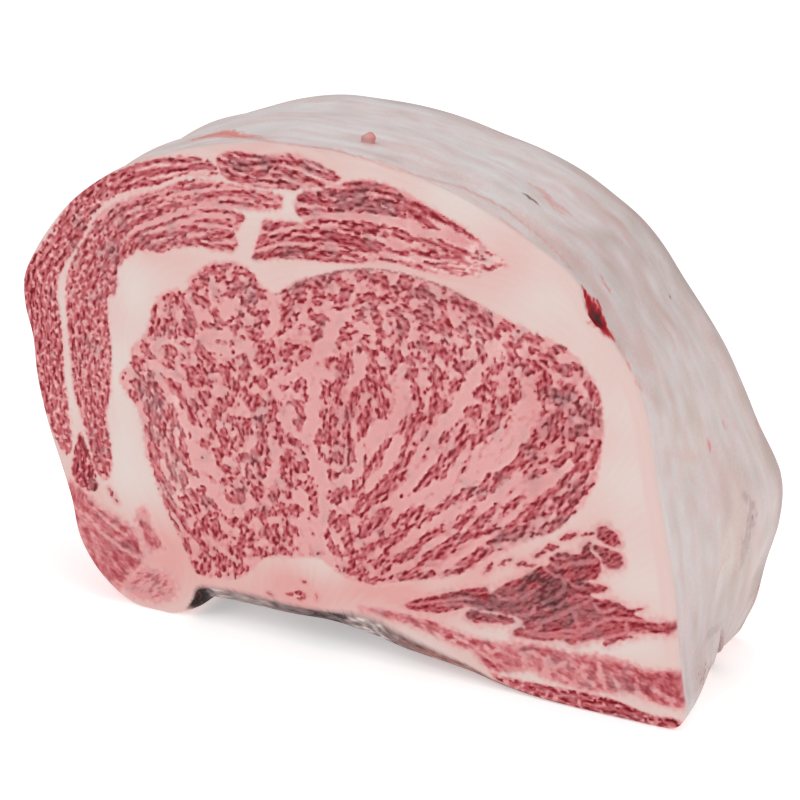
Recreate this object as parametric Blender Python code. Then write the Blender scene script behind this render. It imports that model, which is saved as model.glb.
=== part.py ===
"""Raw ribeye steak, cut very thick, standing on its rib side.

Frame: +X to the right along the cut face, +Y from the front cut face to the back one, +Z up.
The origin is the middle of the base of the box. Names that end in _MM hold millimetres.
"""
import math

import bmesh
import bpy
import numpy as np
from mathutils import Vector

MM = 0.001

# Main sizes
THICKNESS_MM = 65.0
FRONT_RIM_MM = 2.0
BACK_RIM_MM = 2.6
SHARP_RIM_SHARE = 0.3
SHARP_RIM_X_MM = (-85.0, -45.0)
SHARP_RIM_Z_MM = (4.0, 24.0)
ROLL_DEPTH_MM = 4.5
STEPS_PER_SPAN = 2
CAP_SWELL_MM = 0.8

# Outline of the front cut face as (x, z), starting at the lower right corner, up the fat side,
# over the top, down the lean side, round the bottom lobe and back along the rib side.
FRONT_MM = (
    (108.4, 2.7), (109.1, 6.5), (108.0, 12.6), (106.1, 23.9), (104.1, 39.9), (101.2, 55.8),
    (98.2, 69.8), (95.8, 81.8), (93.8, 91.8), (89.9, 102.1), (83.8, 110.5), (77.8, 119.5),
    (70.5, 128.4), (60.6, 134.7), (49.6, 140.6), (37.7, 145.9), (24.8, 149.8), (10.9, 153.2),
    (-4.0, 154.4), (-20.0, 155.0), (-32.9, 153.7), (-45.8, 151.2), (-57.2, 148.2),
    (-69.2, 144.0), (-80.4, 138.0), (-90.6, 130.6), (-98.6, 122.2), (-105.6, 112.8),
    (-110.0, 104.1), (-110.3, 95.0), (-108.1, 84.9), (-107.3, 71.9), (-104.3, 56.9),
    (-100.2, 43.9), (-96.9, 32.9), (-94.5, 20.3), (-89.1, 11.0), (-81.9, 4.3), (-74.6, 0.6),
    (-67.0, 0.0), (-59.9, 0.3), (-55.4, 3.4), (-52.9, 8.0), (-51.4, 12.0), (-46.0, 13.4),
    (-33.0, 14.0), (-20.0, 13.5), (-6.0, 13.9), (3.0, 15.4), (12.0, 15.4), (20.0, 12.7),
    (31.0, 9.5), (42.0, 6.6), (52.0, 3.0), (64.0, 0.8), (76.0, 0.0), (90.0, 0.0),
    (101.0, 0.0), (106.2, 0.5),
)

# The same outline on the back cut face, point for point.
BACK_MM = (
    (104.2, 2.2), (106.6, 8.0), (109.2, 15.5), (111.4, 28.0), (114.8, 43.0), (114.2, 57.0),
    (106.6, 71.5), (101.2, 82.6), (95.4, 93.5), (89.0, 102.8), (81.6, 112.5), (74.6, 122.0),
    (67.9, 128.9), (60.0, 134.5), (48.6, 141.3), (36.0, 146.3), (22.3, 150.0), (9.0, 153.5),
    (-4.5, 155.6), (-18.2, 156.4), (-32.0, 156.4), (-46.3, 153.8), (-60.0, 149.4),
    (-74.0, 144.2), (-84.0, 138.6), (-92.5, 131.0), (-99.0, 122.6), (-104.6, 113.0),
    (-108.6, 103.5), (-109.2, 93.5), (-107.8, 83.0), (-105.6, 70.5), (-102.8, 57.5),
    (-99.2, 45.0), (-96.4, 34.0), (-93.4, 22.0), (-88.6, 12.2), (-82.0, 5.4), (-74.5, 1.2),
    (-67.0, 0.0), (-59.6, 0.3), (-54.0, 1.6), (-49.8, 4.6), (-46.4, 7.4), (-40.5, 8.2),
    (-29.5, 8.4), (-18.0, 8.8), (-6.0, 9.0), (3.0, 8.2), (12.0, 7.0), (20.5, 5.6),
    (31.0, 4.0), (41.5, 2.4), (51.5, 0.9), (62.0, 0.0), (74.0, 0.0), (87.0, 0.0),
    (97.0, 0.0), (101.2, 0.4),
)

# Just behind the front face the rib side drops: the outline's points from the lobe's inner side
# to the right foot take these places instead.
ROLL_FIRST = 41
ROLL_MM = (
    (-54.4, 2.0), (-50.6, 4.4), (-47.8, 7.2), (-43.4, 7.9), (-31.0, 8.0), (-19.0, 8.0),
    (-6.0, 8.7), (3.0, 7.9), (12.0, 6.4), (20.0, 4.8), (31.0, 3.7), (42.0, 2.6), (52.0, 1.0),
    (63.0, 0.0),
)

# Stations through the thickness, closer together around the cleft in the fat side.
STATIONS_MM = (
    -25.0, -21.0, -16.5, -12.0, -7.5, -3.0, 0.0, 1.8, 2.9, 4.0, 6.5, 9.5, 12.5, 15.5, 18.0,
    21.5, 25.0, 27.5,
)

# Cleft at the foot of the fat side: a wedge that opens downwards.
CLEFT_NEAR_Y_MM = 2.4
CLEFT_FAR_Y_MM = 18.0
CLEFT_TOP_Z_MM = 18.0
CLEFT_DEPTH_MM = 9.0
CLEFT_EDGE_MM = 1.6
CLEFT_REACH_X_MM = (82.0, 104.0)
WAIST_MM = 1.8
WAIST_Y_MM = 3.0
WAIST_HALF_MM = 15.0
WAIST_TOP_Z_MM = 34.0

# Blood pocket: a torn dent across the upper right rim of the front face.
POCKET_AT_MM = (77.4, -30.4, 118.8)
POCKET_ALONG_MM = 8.5
POCKET_ACROSS_MM = 3.0
POCKET_DEPTH_MM = 2.6
POCKET_SLOPE = math.radians(-56.0)

# Small nub of tissue on the fat above the front rim.
NUB_AT_MM = (0.5, -16.6, 155.4)
NUB_LENGTH_MM = 3.8
NUB_WIDTH_MM = 3.0
NUB_HEIGHT_MM = 2.6

# Soft dimples all over the trimmed fat.
DIMPLE_MM = 0.35


def smooth(value):
    value = np.clip(value, 0.0, 1.0)
    return value * value * (3.0 - 2.0 * value)


def closed_spline(points, steps):
    """Catmull-Rom curve through a closed ring of points."""
    ring = np.asarray(points, float)
    before = np.roll(ring, 1, axis=0)
    after = np.roll(ring, -1, axis=0)
    beyond = np.roll(ring, -2, axis=0)
    rows = []
    for step in range(steps):
        t = step / steps
        rows.append(
            0.5 * (
                2.0 * ring
                + (after - before) * t
                + (2.0 * before - 5.0 * ring + 4.0 * after - beyond) * t ** 2
                + (3.0 * ring - before - 3.0 * after + beyond) * t ** 3
            )
        )
    curve = np.stack(rows, axis=1).reshape(-1, 2)
    curve[:, 1] = np.maximum(curve[:, 1], 0.0)
    return curve


def outward(curve):
    """Unit normals of a ring that runs up the right side, over the top and down the left."""
    along = np.roll(curve, -1, axis=0) - np.roll(curve, 1, axis=0)
    across = np.stack([along[:, 1], -along[:, 0]], axis=1)
    return across / np.linalg.norm(across, axis=1)[:, None]


def rim_share(section):
    """How much of the full rim radius each point takes: the lean side and the base stay sharp."""
    low_x, high_x = SHARP_RIM_X_MM
    low_z, high_z = SHARP_RIM_Z_MM
    share = smooth((section[:, 0] - low_x) / (high_x - low_x))
    share = share * smooth((section[:, 1] - low_z) / (high_z - low_z))
    return SHARP_RIM_SHARE + (1.0 - SHARP_RIM_SHARE) * share


def section_at(y_mm):
    """Outline of the meat at one station of its thickness."""
    front = closed_spline(FRONT_MM, STEPS_PER_SPAN)
    rolled_points = list(FRONT_MM)
    rolled_points[ROLL_FIRST:ROLL_FIRST + len(ROLL_MM)] = ROLL_MM
    rolled = closed_spline(rolled_points, STEPS_PER_SPAN)
    back = closed_spline(BACK_MM, STEPS_PER_SPAN)
    half = THICKNESS_MM / 2.0
    turn = float(np.clip((y_mm + half) / ROLL_DEPTH_MM, 0.0, 1.0))
    turn = math.sqrt(1.0 - (1.0 - turn) ** 2)
    through = (y_mm + half) / THICKNESS_MM
    near = front + (rolled - front) * turn
    blend = float(smooth(through))
    section = near + (back - near) * blend
    swell = CAP_SWELL_MM * math.sin(math.pi * through)
    lift = smooth(section[:, 1] / 30.0)
    return section + outward(section) * (swell * lift)[:, None]


def build_rings():
    """Rings of points from the front face to the back face, with rounded rims."""
    half = THICKNESS_MM / 2.0
    rings = []
    for angle in (0.0, 30.0, 60.0):
        turn = math.radians(angle)
        y_mm = -half + FRONT_RIM_MM * (1.0 - math.cos(turn))
        rings.append((y_mm, FRONT_RIM_MM * (1.0 - math.sin(turn))))
    rings.append((-half + FRONT_RIM_MM, 0.0))
    rings.append((-half + ROLL_DEPTH_MM * 0.7, 0.0))
    for y_mm in STATIONS_MM:
        rings.append((y_mm, 0.0))
    rings.append((half - BACK_RIM_MM, 0.0))
    for angle in (60.0, 30.0, 0.0):
        turn = math.radians(angle)
        y_mm = half - BACK_RIM_MM * (1.0 - math.cos(turn))
        rings.append((y_mm, BACK_RIM_MM * (1.0 - math.sin(turn))))
    solid = []
    for y_mm, inset in rings:
        section = section_at(y_mm)
        section = section - outward(section) * (inset * rim_share(section))[:, None]
        section[:, 1] = np.maximum(section[:, 1], 0.0)
        solid.append([Vector((x, y_mm, z)) for x, z in section])
    return solid


def add_skin(bm, solid):
    rows = [[bm.verts.new(point) for point in ring] for ring in solid]
    count = len(rows[0])
    for near, far in zip(rows, rows[1:]):
        for i in range(count):
            j = (i + 1) % count
            bm.faces.new((near[i], far[i], far[j], near[j]))
    bm.faces.new(rows[0])
    bm.faces.new(list(reversed(rows[-1])))
    bmesh.ops.recalc_face_normals(bm, faces=bm.faces)


def cut_cleft(bm):
    """Draw in the foot of the fat side, then cut a wedge with one steep wall into it."""
    low_x, high_x = CLEFT_REACH_X_MM
    for vert in bm.verts:
        point = vert.co
        reach = float(smooth((point.x - low_x) / (high_x - low_x)))
        waist = math.exp(-((point.y - WAIST_Y_MM) / WAIST_HALF_MM) ** 2)
        point.x -= WAIST_MM * waist * reach * float(smooth(1.0 - point.z / WAIST_TOP_Z_MM))
        height = 1.0 - point.z / CLEFT_TOP_Z_MM
        if height <= 0.0 or point.x < low_x:
            continue
        far_y = CLEFT_NEAR_Y_MM + CLEFT_EDGE_MM + (CLEFT_FAR_Y_MM - CLEFT_NEAR_Y_MM) * height
        near_wall = float(smooth((point.y - CLEFT_NEAR_Y_MM) / CLEFT_EDGE_MM))
        far_wall = float(np.clip((far_y - point.y) / (far_y - CLEFT_NEAR_Y_MM), 0.0, 1.0))
        point.x -= CLEFT_DEPTH_MM * math.sqrt(height) * near_wall * far_wall * reach


def dimple_fat(bm):
    """Shallow uneven hollows of hand-trimmed fat, none on the cut faces or the base."""
    limit = THICKNESS_MM / 2.0 - FRONT_RIM_MM - BACK_RIM_MM
    for vert in bm.verts:
        x, y, z = vert.co
        if abs(y) > limit or z < 20.0:
            continue
        wave = math.sin(0.11 * x + 0.17 * y) + math.sin(0.23 * y - 0.07 * z + 1.3)
        wave += 0.6 * math.sin(0.31 * x - 0.19 * z + 0.4)
        fade = 1.0 - (abs(y) / limit) ** 4
        vert.co += vert.normal * (DIMPLE_MM * wave * fade)


def refine_near(bm, centre, radius):
    """Split the faces near a small feature so that it can take its shape."""
    edges = [
        edge for edge in bm.edges
        if (edge.verts[0].co - centre).length < radius or (edge.verts[1].co - centre).length < radius
    ]
    bmesh.ops.subdivide_edges(bm, edges=edges, cuts=1, use_grid_fill=True)


def push_pocket(bm):
    centre = Vector(POCKET_AT_MM)
    along = Vector((math.cos(POCKET_SLOPE), 0.0, math.sin(POCKET_SLOPE)))
    inward = Vector((math.sin(POCKET_SLOPE), 0.0, -math.cos(POCKET_SLOPE)))
    for radius in (POCKET_ALONG_MM * 1.5, POCKET_ALONG_MM):
        refine_near(bm, centre, radius)
    for vert in bm.verts:
        offset = vert.co - centre
        u = offset.dot(along) / POCKET_ALONG_MM
        v = offset.y / POCKET_ACROSS_MM
        distance = math.hypot(u, v)
        if distance < 1.0 and offset.length < 2.0 * POCKET_ALONG_MM:
            vert.co += inward * (POCKET_DEPTH_MM * float(smooth(1.0 - distance)))


def raise_nub(bm):
    centre = Vector(NUB_AT_MM)
    for radius in (NUB_LENGTH_MM * 2.4, NUB_LENGTH_MM * 1.6, NUB_LENGTH_MM * 1.2):
        refine_near(bm, centre, radius)
    for vert in bm.verts:
        offset = vert.co - centre
        distance = math.hypot(offset.x / NUB_LENGTH_MM, offset.y / NUB_WIDTH_MM)
        if distance < 1.0 and vert.co.z > centre.z / 2.0:
            vert.co.z += NUB_HEIGHT_MM * (1.0 - distance ** 2)


def meat_material():
    """Marbled beef: a rosy mean of red lean and cream fat, moist and not metallic."""
    material = bpy.data.materials.new("marbled_beef")
    material.use_nodes = True
    shader = material.node_tree.nodes["Principled BSDF"]
    shader.inputs["Base Color"].default_value = (0.62, 0.29, 0.28, 1.0)
    shader.inputs["Roughness"].default_value = 0.42
    shader.inputs["Metallic"].default_value = 0.0
    return material


def build_steak(collection):
    bm = bmesh.new()
    add_skin(bm, build_rings())
    bm.normal_update()
    cut_cleft(bm)
    dimple_fat(bm)
    push_pocket(bm)
    raise_nub(bm)
    for vert in bm.verts:
        vert.co.z = max(vert.co.z, 0.0)
    low_x = min(vert.co.x for vert in bm.verts)
    high_x = max(vert.co.x for vert in bm.verts)
    shift = Vector((-(low_x + high_x) / 2.0, 0.0, 0.0))
    bmesh.ops.translate(bm, vec=shift, verts=bm.verts)
    bmesh.ops.scale(bm, vec=Vector((MM, MM, MM)), verts=bm.verts)
    bmesh.ops.triangulate(bm, faces=bm.faces)
    bmesh.ops.recalc_face_normals(bm, faces=bm.faces)
    mesh = bpy.data.meshes.new("ribeye_steak")
    bm.to_mesh(mesh)
    bm.free()
    steak = bpy.data.objects.new("ribeye_steak", mesh)
    mesh.materials.append(meat_material())
    collection.objects.link(steak)
    return steak


def main():
    for old in list(bpy.data.objects):
        bpy.data.objects.remove(old)
    collection = bpy.data.collections.new("ribeye_steak")
    bpy.context.scene.collection.children.link(collection)
    build_steak(collection)


main()
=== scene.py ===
"""Raw ribeye steak: a very thick cut of marbled beef, dressed on its CAD solid.

Frame: +X to the right along the front cut face, +Y from the front cut face to the back one,
+Z up, the origin in the middle of the base. Names that end in _MM hold millimetres.
The outlines of the whole section, the cleft, the pocket, the nub and the camera's aim are drawn
2 mm further right, and skin_grid brings them to the frame. Every noise has a seed of its own.
"""
import math

import bpy
import numpy as np
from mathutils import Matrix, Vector
from mathutils.geometry import tessellate_polygon


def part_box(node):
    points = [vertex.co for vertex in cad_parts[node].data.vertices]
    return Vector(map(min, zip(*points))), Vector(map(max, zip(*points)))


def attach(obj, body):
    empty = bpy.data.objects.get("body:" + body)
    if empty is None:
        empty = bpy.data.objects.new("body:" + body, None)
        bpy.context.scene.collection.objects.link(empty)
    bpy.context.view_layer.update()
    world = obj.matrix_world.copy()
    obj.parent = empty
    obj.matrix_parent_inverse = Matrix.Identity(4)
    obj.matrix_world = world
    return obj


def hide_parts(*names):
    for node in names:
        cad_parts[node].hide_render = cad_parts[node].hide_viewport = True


bl_info = {
    "name": "Ribeye Steak",
    "version": (1, 0, 0),
    "blender": (4, 5, 0),
    "location": "View3D > Sidebar > Steak",
    "description": "Builds a thick raw ribeye steak with its marbling, fat cap and silverskin",
    "category": "Add Mesh",
}

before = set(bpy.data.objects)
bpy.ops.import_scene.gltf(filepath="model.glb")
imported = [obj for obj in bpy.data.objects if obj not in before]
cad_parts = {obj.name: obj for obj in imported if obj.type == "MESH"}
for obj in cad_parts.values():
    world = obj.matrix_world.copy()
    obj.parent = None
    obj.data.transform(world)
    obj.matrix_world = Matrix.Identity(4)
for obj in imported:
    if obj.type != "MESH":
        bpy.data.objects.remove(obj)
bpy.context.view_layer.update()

MM = 0.001
NODE = "ribeye_steak"
HALF_MM = 32.5
FLAT_MM = 0.7
# Points per row of an outline in the mesh, in the drawn muscles and seams, in the strokes on the
# outside and round the eye in the mesh.
STEPS = 12
DRAWN_STEPS = 6
STROKE_STEPS = 5
EYE_STEPS = 10
RIM_ANGLES = np.radians(np.linspace(0.0, 90.0, 9))
FAR_MM = 1e3


def table(text):
    """Rows of numbers from text, with commas between the rows."""
    return tuple(tuple(float(value) for value in row.split()) for row in text.split(","))


def tables(text):
    """Lines of such rows, with semicolons between the lines."""
    return tuple(table(line) for line in text.split(";"))


# Outline of the front cut face as (x, z): lower right corner, up the fat side, over the top,
# down the lean side, round the bottom lobe and back along the rib side.
FRONT_MM = table("""
    108.4 2.7, 109.1 6.5, 108 12.6, 106.1 23.9, 104.1 39.9, 101.2 55.8, 98.2 69.8, 95.8 81.8, 93.8 91.8,
    89.9 102.1, 83.8 110.5, 77.8 119.5, 70.5 128.4, 60.6 134.7, 49.6 140.6, 37.7 145.9, 24.8 149.8,
    10.9 153.2, -4 154.4, -20 155, -32.9 153.7, -45.8 151.2, -57.2 148.2, -69.2 144, -80.4 138,
    -90.6 130.6, -98.6 122.2, -105.6 112.8, -110 104.1, -110.3 95, -108.1 84.9, -107.3 71.9, -104.3 56.9,
    -100.2 43.9, -96.9 32.9, -94.5 20.3, -89.1 11, -81.9 4.3, -74.6 0.6, -67 0, -59.9 0.3, -55.4 3.4,
    -52.9 8, -51.4 12, -46 13.4, -33 14, -20 13.5, -6 13.9, 3 15.4, 12 15.4, 20 12.7, 31 9.5, 42 6.6,
    52 3, 64 0.8, 76 0, 90 0, 101 0, 106.2 0.5
""")
BACK_MM = table("""
    104.2 2.2, 106.6 8, 109.2 15.5, 111.4 28, 114.8 43, 114.2 57, 106.6 71.5, 101.2 82.6, 95.4 93.5,
    89 102.8, 81.6 112.5, 74.6 122, 67.9 128.9, 60 134.5, 48.6 141.3, 36 146.3, 22.3 150, 9 153.5,
    -4.5 155.6, -18.2 156.4, -32 156.4, -46.3 153.8, -60 149.4, -74 144.2, -84 138.6, -92.5 131,
    -99 122.6, -104.6 113, -108.6 103.5, -109.2 93.5, -107.8 83, -105.6 70.5, -102.8 57.5, -99.2 45,
    -96.4 34, -93.4 22, -88.6 12.2, -82 5.4, -74.5 1.2, -67 0, -59.6 0.3, -54 1.6, -49.8 4.6, -46.4 7.4,
    -40.5 8.2, -29.5 8.4, -18 8.8, -6 9, 3 8.2, 12 7, 20.5 5.6, 31 4, 41.5 2.4, 51.5 0.9, 62 0, 74 0,
    87 0, 97 0, 101.2 0.4
""")
# Just behind the front face the rib side drops to these places.
ROLL_FIRST = 41
ROLL_MM = table("""
    -54.4 2, -50.6 4.4, -47.8 7.2, -43.4 7.9, -31 8, -19 8, -6 8.7, 3 7.9, 12 6.4, 20 4.8, 31 3.7, 42 2.6,
    52 1, 63 0
""")
ROLL_DEPTH_MM = 4.5
SHARP_RIM_SHARE = 0.3
SHARP_RIM_X_MM = (-85.0, -45.0)
SHARP_RIM_Z_MM = (4.0, 24.0)
CAP_SWELL_MM = 0.8
SWELL_FOOT_MM = 30.0

# Cleft at the foot of the fat side, a wedge that opens downwards, and the slight waist round it.
CLEFT_Z_MM = (0.0, 4.0, 8.0, 19.0)
CLEFT_NEAR_Y_MM = (8.5, 5.6, 2.5, -1.0)
CLEFT_FAR_Y_MM = (15.0, 12.0, 8.6, -0.4)
CLEFT_TOP_Z_MM = 19.0
CLEFT_DEPTH_MM = 7.0
CLEFT_EDGE_MM = 1.2
CLEFT_REACH_X_MM = (82.0, 104.0)
# Where the cleft is painted dark: the meat of its walls, with painted shade in the recess.
CLEFT_DARK_NEAR_MM = (-0.3, 0.6)
CLEFT_DARK_FAR_MM = (0.5, -0.3)
CLEFT_DARK_TOP = 0.15
WAIST_MM = 1.8
WAIST_Y_MM = 3.0
WAIST_HALF_MM = 15.0
WAIST_TOP_Z_MM = 34.0
# The flap behind the cleft ends a little above the floor.
LIFT_MM = 3.4
LIFT_Y_MM = (9.0, 14.0)
LIFT_REACH_X_MM = (84.0, 99.0)
LIFT_TOP_Z_MM = 26.0
LIFT_BACK_SHARE = 1.2

# Blood pocket across the upper right rim, and the nub of tissue on the fat.
POCKET_AT_MM = (77.4, -30.4, 118.8)
POCKET_ALONG_MM = 8.5
POCKET_ACROSS_MM = 3.0
POCKET_DEPTH_MM = 2.6
POCKET_SLOPE = math.radians(-56.0)
NUB_AT_MM = (2.5, -17.1, 155.8)
NUB_SIZE_MM = (3.6, 3.0, 1.0)
NUB_BALL_MM = (1.9, 1.7, 2.0)
NUB_LEAN_MM = 0.45
NUB_RINGS = 17
NUB_AROUND = 28
# Dimples of the fat and the slow wave that the knife left: waves as strength, radians per mm
# along x, y and z, and phase.
DIMPLE_MM = 0.35
DIMPLE_LOW_Z_MM = 20.0
DIMPLE_WAVES = ((1.0, 0.11, 0.17, 0.0, 0.0), (1.0, 0.0, 0.23, -0.07, 1.3), (0.6, 0.31, 0.0, -0.19, 0.4))
KNIFE_WAVES = ((1.0, 0.045, 0.0, 0.06, 0.0), (0.6, -0.05, 0.0, 0.11, 1.0))
KNIFE_FRONT_MM = 0.12
KNIFE_BACK_MM = 0.1

# Where the tissues of the outside start and end: counted round the outline in rows of FRONT_MM,
# or through the thickness.
CAP_END_ROWS = (24.2, 22.4)
CAP_START_ROWS = (58.6, 59.6)
CAP_FRONT_Y_MM = (-30.9, -29.9)
CAP_BACK_Y_MM = (32.2, 30.6)
SIDE_START_ROWS = (22.6, 24.6)
SIDE_END_ROWS = (41.2, 39.6)
SIDE_ROSY_ROWS = (35.5, 38.5)
SIDE_SEAM_ROWS = (28.4, 33.6)
FILM_START_ROWS = (40.7, 41.6)
FILM_END_ROWS = (57.5, 55.5)
FILM_FRONT_Y_MM = (-32.48, -32.15)
FILM_BACK_Y_MM = (32.3, 31.0)
FRONT_FACE_Y_MM = (-28.5, -31.5)
BACK_FACE_Y_MM = (29.0, 31.5)

# Muscles of the cut face as closed outlines (x, z).
EYE_MM = table("""
    -22 111.5, -17 115, -12 117.5, -5 120, 0 121.5, 7 122.6, 15 123, 25 122, 33 120.5, 40 118, 46 115.5,
    52 113.5, 60 111, 67 109, 71.5 106, 75.5 102, 78.5 97, 79.8 91, 80 85, 79.5 78, 78 70, 75 64, 71 58.5,
    66 53.5, 58 49, 50 43.5, 45 39, 35 33.5, 25 30, 17 28, 10 25.5, 5 24.8, 0 25.7, -4 27.5, -8 30,
    -13 30, -18 28.5, -24 27.5, -29 25.5, -34 20, -38 17.5, -45 16, -52 15.5, -55 19, -58 26, -62 33,
    -65 40, -67 46, -69.5 52, -70.5 60, -72 67, -76 72, -78 77, -74 82, -73 87, -69 91, -67 95, -65.5 100,
    -62 105.5, -57 107.5, -53 108, -51.5 112, -47 116, -41 118.3, -35 118.8, -30 116.5, -26.5 112.5
""")
CAP_RIGHT_MM = table("""
    -14 142.3, -8 143.7, -2 146, 3 147.7, 9 148.4, 16 147.2, 23 144.7, 30 141.7, 37 138.7, 43 134.7,
    47 131.7, 51 129.5, 47 127.5, 42 125.5, 35 124, 27 124, 20 125, 12 125.5, 5 123.7, -3 122.8,
    -12 122.5, -20 121.7, -29.5 120.2, -29 124, -27 129, -26 132.5, -20 133.2, -13 134, -15.5 137
""")
CAP_TOP_MM = table("""
    -40.5 150, -36 151.7, -30 152.2, -24 151.7, -17 153.2, -10 152, -4 150, -0.5 147.8, -4 145.3,
    -12 143.3, -20 142.3, -30 141.8, -38 143.5, -41 147
""")
INNER_STRIP_MM = table("""
    -20 140.7, -30 141.7, -42 142.2, -52 141.7, -60 138.3, -70 134.5, -78 131, -84 126, -88 120,
    -93 112.5, -96 105, -96.5 98, -96.5 90, -96 80, -95.5 70, -94 63, -92 57, -90.5 50, -89 44,
    -85.5 41.5, -83 44, -82.5 50, -83 57, -83.5 64, -82 69, -81 78, -80.5 88, -81 95, -81 101, -78 104,
    -77 111, -75 113.5, -72 116, -69 118, -62 118, -57 120, -50 121.5, -42 121.2, -37 121.5, -34.7 124,
    -35.5 127.5, -34 129.5, -32 133, -36 134.7, -28 135.2, -20.5 136.5
""")
OUTER_STRIP_MM = table("""
    -41 144.3, -42 147.5, -46 148.7, -52 148.7, -58 147.7, -66 145.7, -75 142, -82 139.2, -89 134.5,
    -94 129, -100 121, -107 112.5, -112 106, -114 100, -113.5 92, -111 84, -111 76, -108.5 66, -105.5 57,
    -102 49.5, -99.5 47.3, -97.6 50, -97.3 58, -98 66, -98.5 75, -98.5 85, -99 95, -99.7 101, -98.3 106,
    -95.3 111, -92 115, -88.5 120, -85.3 126, -80.5 131, -74 135, -66 137, -58 140.3, -50 142.7
""")
LEAF_MM = table("""
    -94 56, -96.5 50, -98 44, -97 39, -93 36.7, -88.5 37.5, -89 43, -91 50
""")
LOBE_MM = table("""
    -95.3 37, -91.5 34, -87.7 31.2, -81.4 29.4, -75.9 26.4, -73.2 21.1, -72.7 16.7, -75.5 12.5, -78.7 8.9,
    -81.1 5.7, -86 3.5, -92 8, -97.5 17, -100 26, -101.5 36, -98.5 38.5
""")
BLOTCH_MM = table("""
    -79 5, -77.5 9.5, -73 13.5, -67 14, -62 11.5, -61.5 7.5, -65 5, -71 3.5
""")
SLIVER_MM = table("""
    -74 31.5, -71 34.5, -69 29, -65 23, -67 21.5, -70 21, -73 27
""")
LOW_RIGHT_MM = table("""
    38.5 25.4, 37 27, 41 28, 44 30, 48 31.5, 52 35, 57 38, 62 42, 65 43.3, 65.5 46, 69 48, 74 48.3,
    75 50.5, 76.5 53, 78 52, 77.5 49.8, 80 48.5, 81 44.8, 79.5 42, 76.5 40.6, 82.5 40.3, 82 38.3, 78 37,
    80 36, 85 36.6, 89 35, 94 36, 91 33.6, 96 32.6, 102.5 33.2, 103.3 31, 101.5 29.7, 95 28.5, 89 26.3,
    84 22.3, 82 23.5, 78 22.3, 73 19.8, 69 20.6, 64 19.2, 55 18.6, 54.5 20.3, 57 22.5, 56 24.7, 50 25,
    44 24.8
""")
TIP_MM = table("""
    19.2 21, 22 23, 26 25, 31 27, 36 29, 41 31, 46 32, 48 28.5, 45 25.6, 40.5 25, 36.5 23.2, 32 21.2,
    26 20.2, 21.5 20
""")
PLUG_MM = table("""
    39.2 21.8, 41 24.3, 45 24.2, 53 24.7, 55.2 23.4, 53 22, 47 21, 42 20.3
""")
KNOB_HIGH_MM = table("""
    79 57.1, 81.1 58.4, 83.7 57.7, 86.2 55.2, 86 52.9, 83.1 52.6, 79.6 54.2
""")
KNOB_LOW_MM = table("""
    77 51.6, 80.1 52.3, 83.7 52, 86.9 50.5, 87 47.4, 84 45.6, 81.5 46.4, 80.2 49.1
""")
RIB_STRIP_MM = table("""
    5 17, 20 18.2, 30 17.5, 40 15.5, 50 15.5, 58 17, 65 17.7, 72 17, 80 18.2, 88 18.2, 95 17.2, 105 18.2,
    106.5 12, 106.5 8, 98 7.5, 92 8.7, 85 7.5, 75 6.5, 65 7.5, 60 9, 52 6.5, 46 6.8, 42 10.7, 35 12,
    28 13.5, 20 15, 8 15.7
""")
BASE_STRIP_MM = table("""
    48 5, 54 5, 60 5.2, 70 5.7, 85 5.7, 97 3.7, 105 4.2, 106 2, 100 -0.5, 85 -1.5, 65 -1.5, 52 0.5
""")

# Tones of a muscle, from its darkest lean to its palest fat, at these shares of its area.
SHARES = (0.0, 0.05, 0.15, 0.3, 0.5, 0.7, 0.9, 1.0)
EYE_TONES = (0.02, 0.19, 0.36, 0.53, 0.71, 0.82, 0.89, 0.98)
CAP_TONES = (-0.08, 0.12, 0.27, 0.41, 0.56, 0.70, 0.82, 0.90)
STRIP_TONES = (0.02, 0.22, 0.37, 0.49, 0.61, 0.72, 0.85, 0.97)
EDGE_TONES = (-0.06, 0.15, 0.31, 0.44, 0.56, 0.67, 0.81, 0.93)
LEAF_TONES = (0.0, 0.12, 0.21, 0.31, 0.42, 0.53, 0.68, 0.84)
LOW_RIGHT_TONES = (-0.04, 0.13, 0.23, 0.32, 0.41, 0.50, 0.60, 0.73)

# Streaky muscles: outline, share of lean and tones.
STREAKY = (
    (CAP_RIGHT_MM, 0.35, CAP_TONES),
    (CAP_TOP_MM, 0.55, CAP_TONES),
    (INNER_STRIP_MM, 0.45, STRIP_TONES),
    (OUTER_STRIP_MM, 0.6, EDGE_TONES),
    (LEAF_MM, 0.8, LEAF_TONES),
    (BASE_STRIP_MM, 0.6, EDGE_TONES),
)
# Soft rosy muscles: outline, tones, strength of the net of thin septa, width of the pink edge.
ROSY = (
    (LOBE_MM, (0.22, 0.40, 0.50, 0.58, 0.64, 0.71, 0.82, 0.92), 0.3, 3.0),
    (BLOTCH_MM, (0.42, 0.56, 0.66, 0.74, 0.81, 0.86, 0.91, 0.96), 0.2, 4.0),
    (SLIVER_MM, (0.3, 0.42, 0.5, 0.58, 0.66, 0.76, 0.86, 0.95), 0.0, 2.5),
    (RIB_STRIP_MM, (0.20, 0.37, 0.47, 0.55, 0.64, 0.73, 0.83, 0.94), 0.6, 2.0),
)
# Thin dotted line of dark membrane along the top of the eye: x, z and half width.
EYE_LINE = table("""
    -23 110.8 0.1, -19 112 0.22, -15 115 0.22, -8 118.3 0.2, 0 121 0.22, 8 122.6 0.2, 16 123 0.22,
    25 122 0.18, 33 120.2 0.16, 40 117.6 0.12, 46 115.2 0.08
""")
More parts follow.
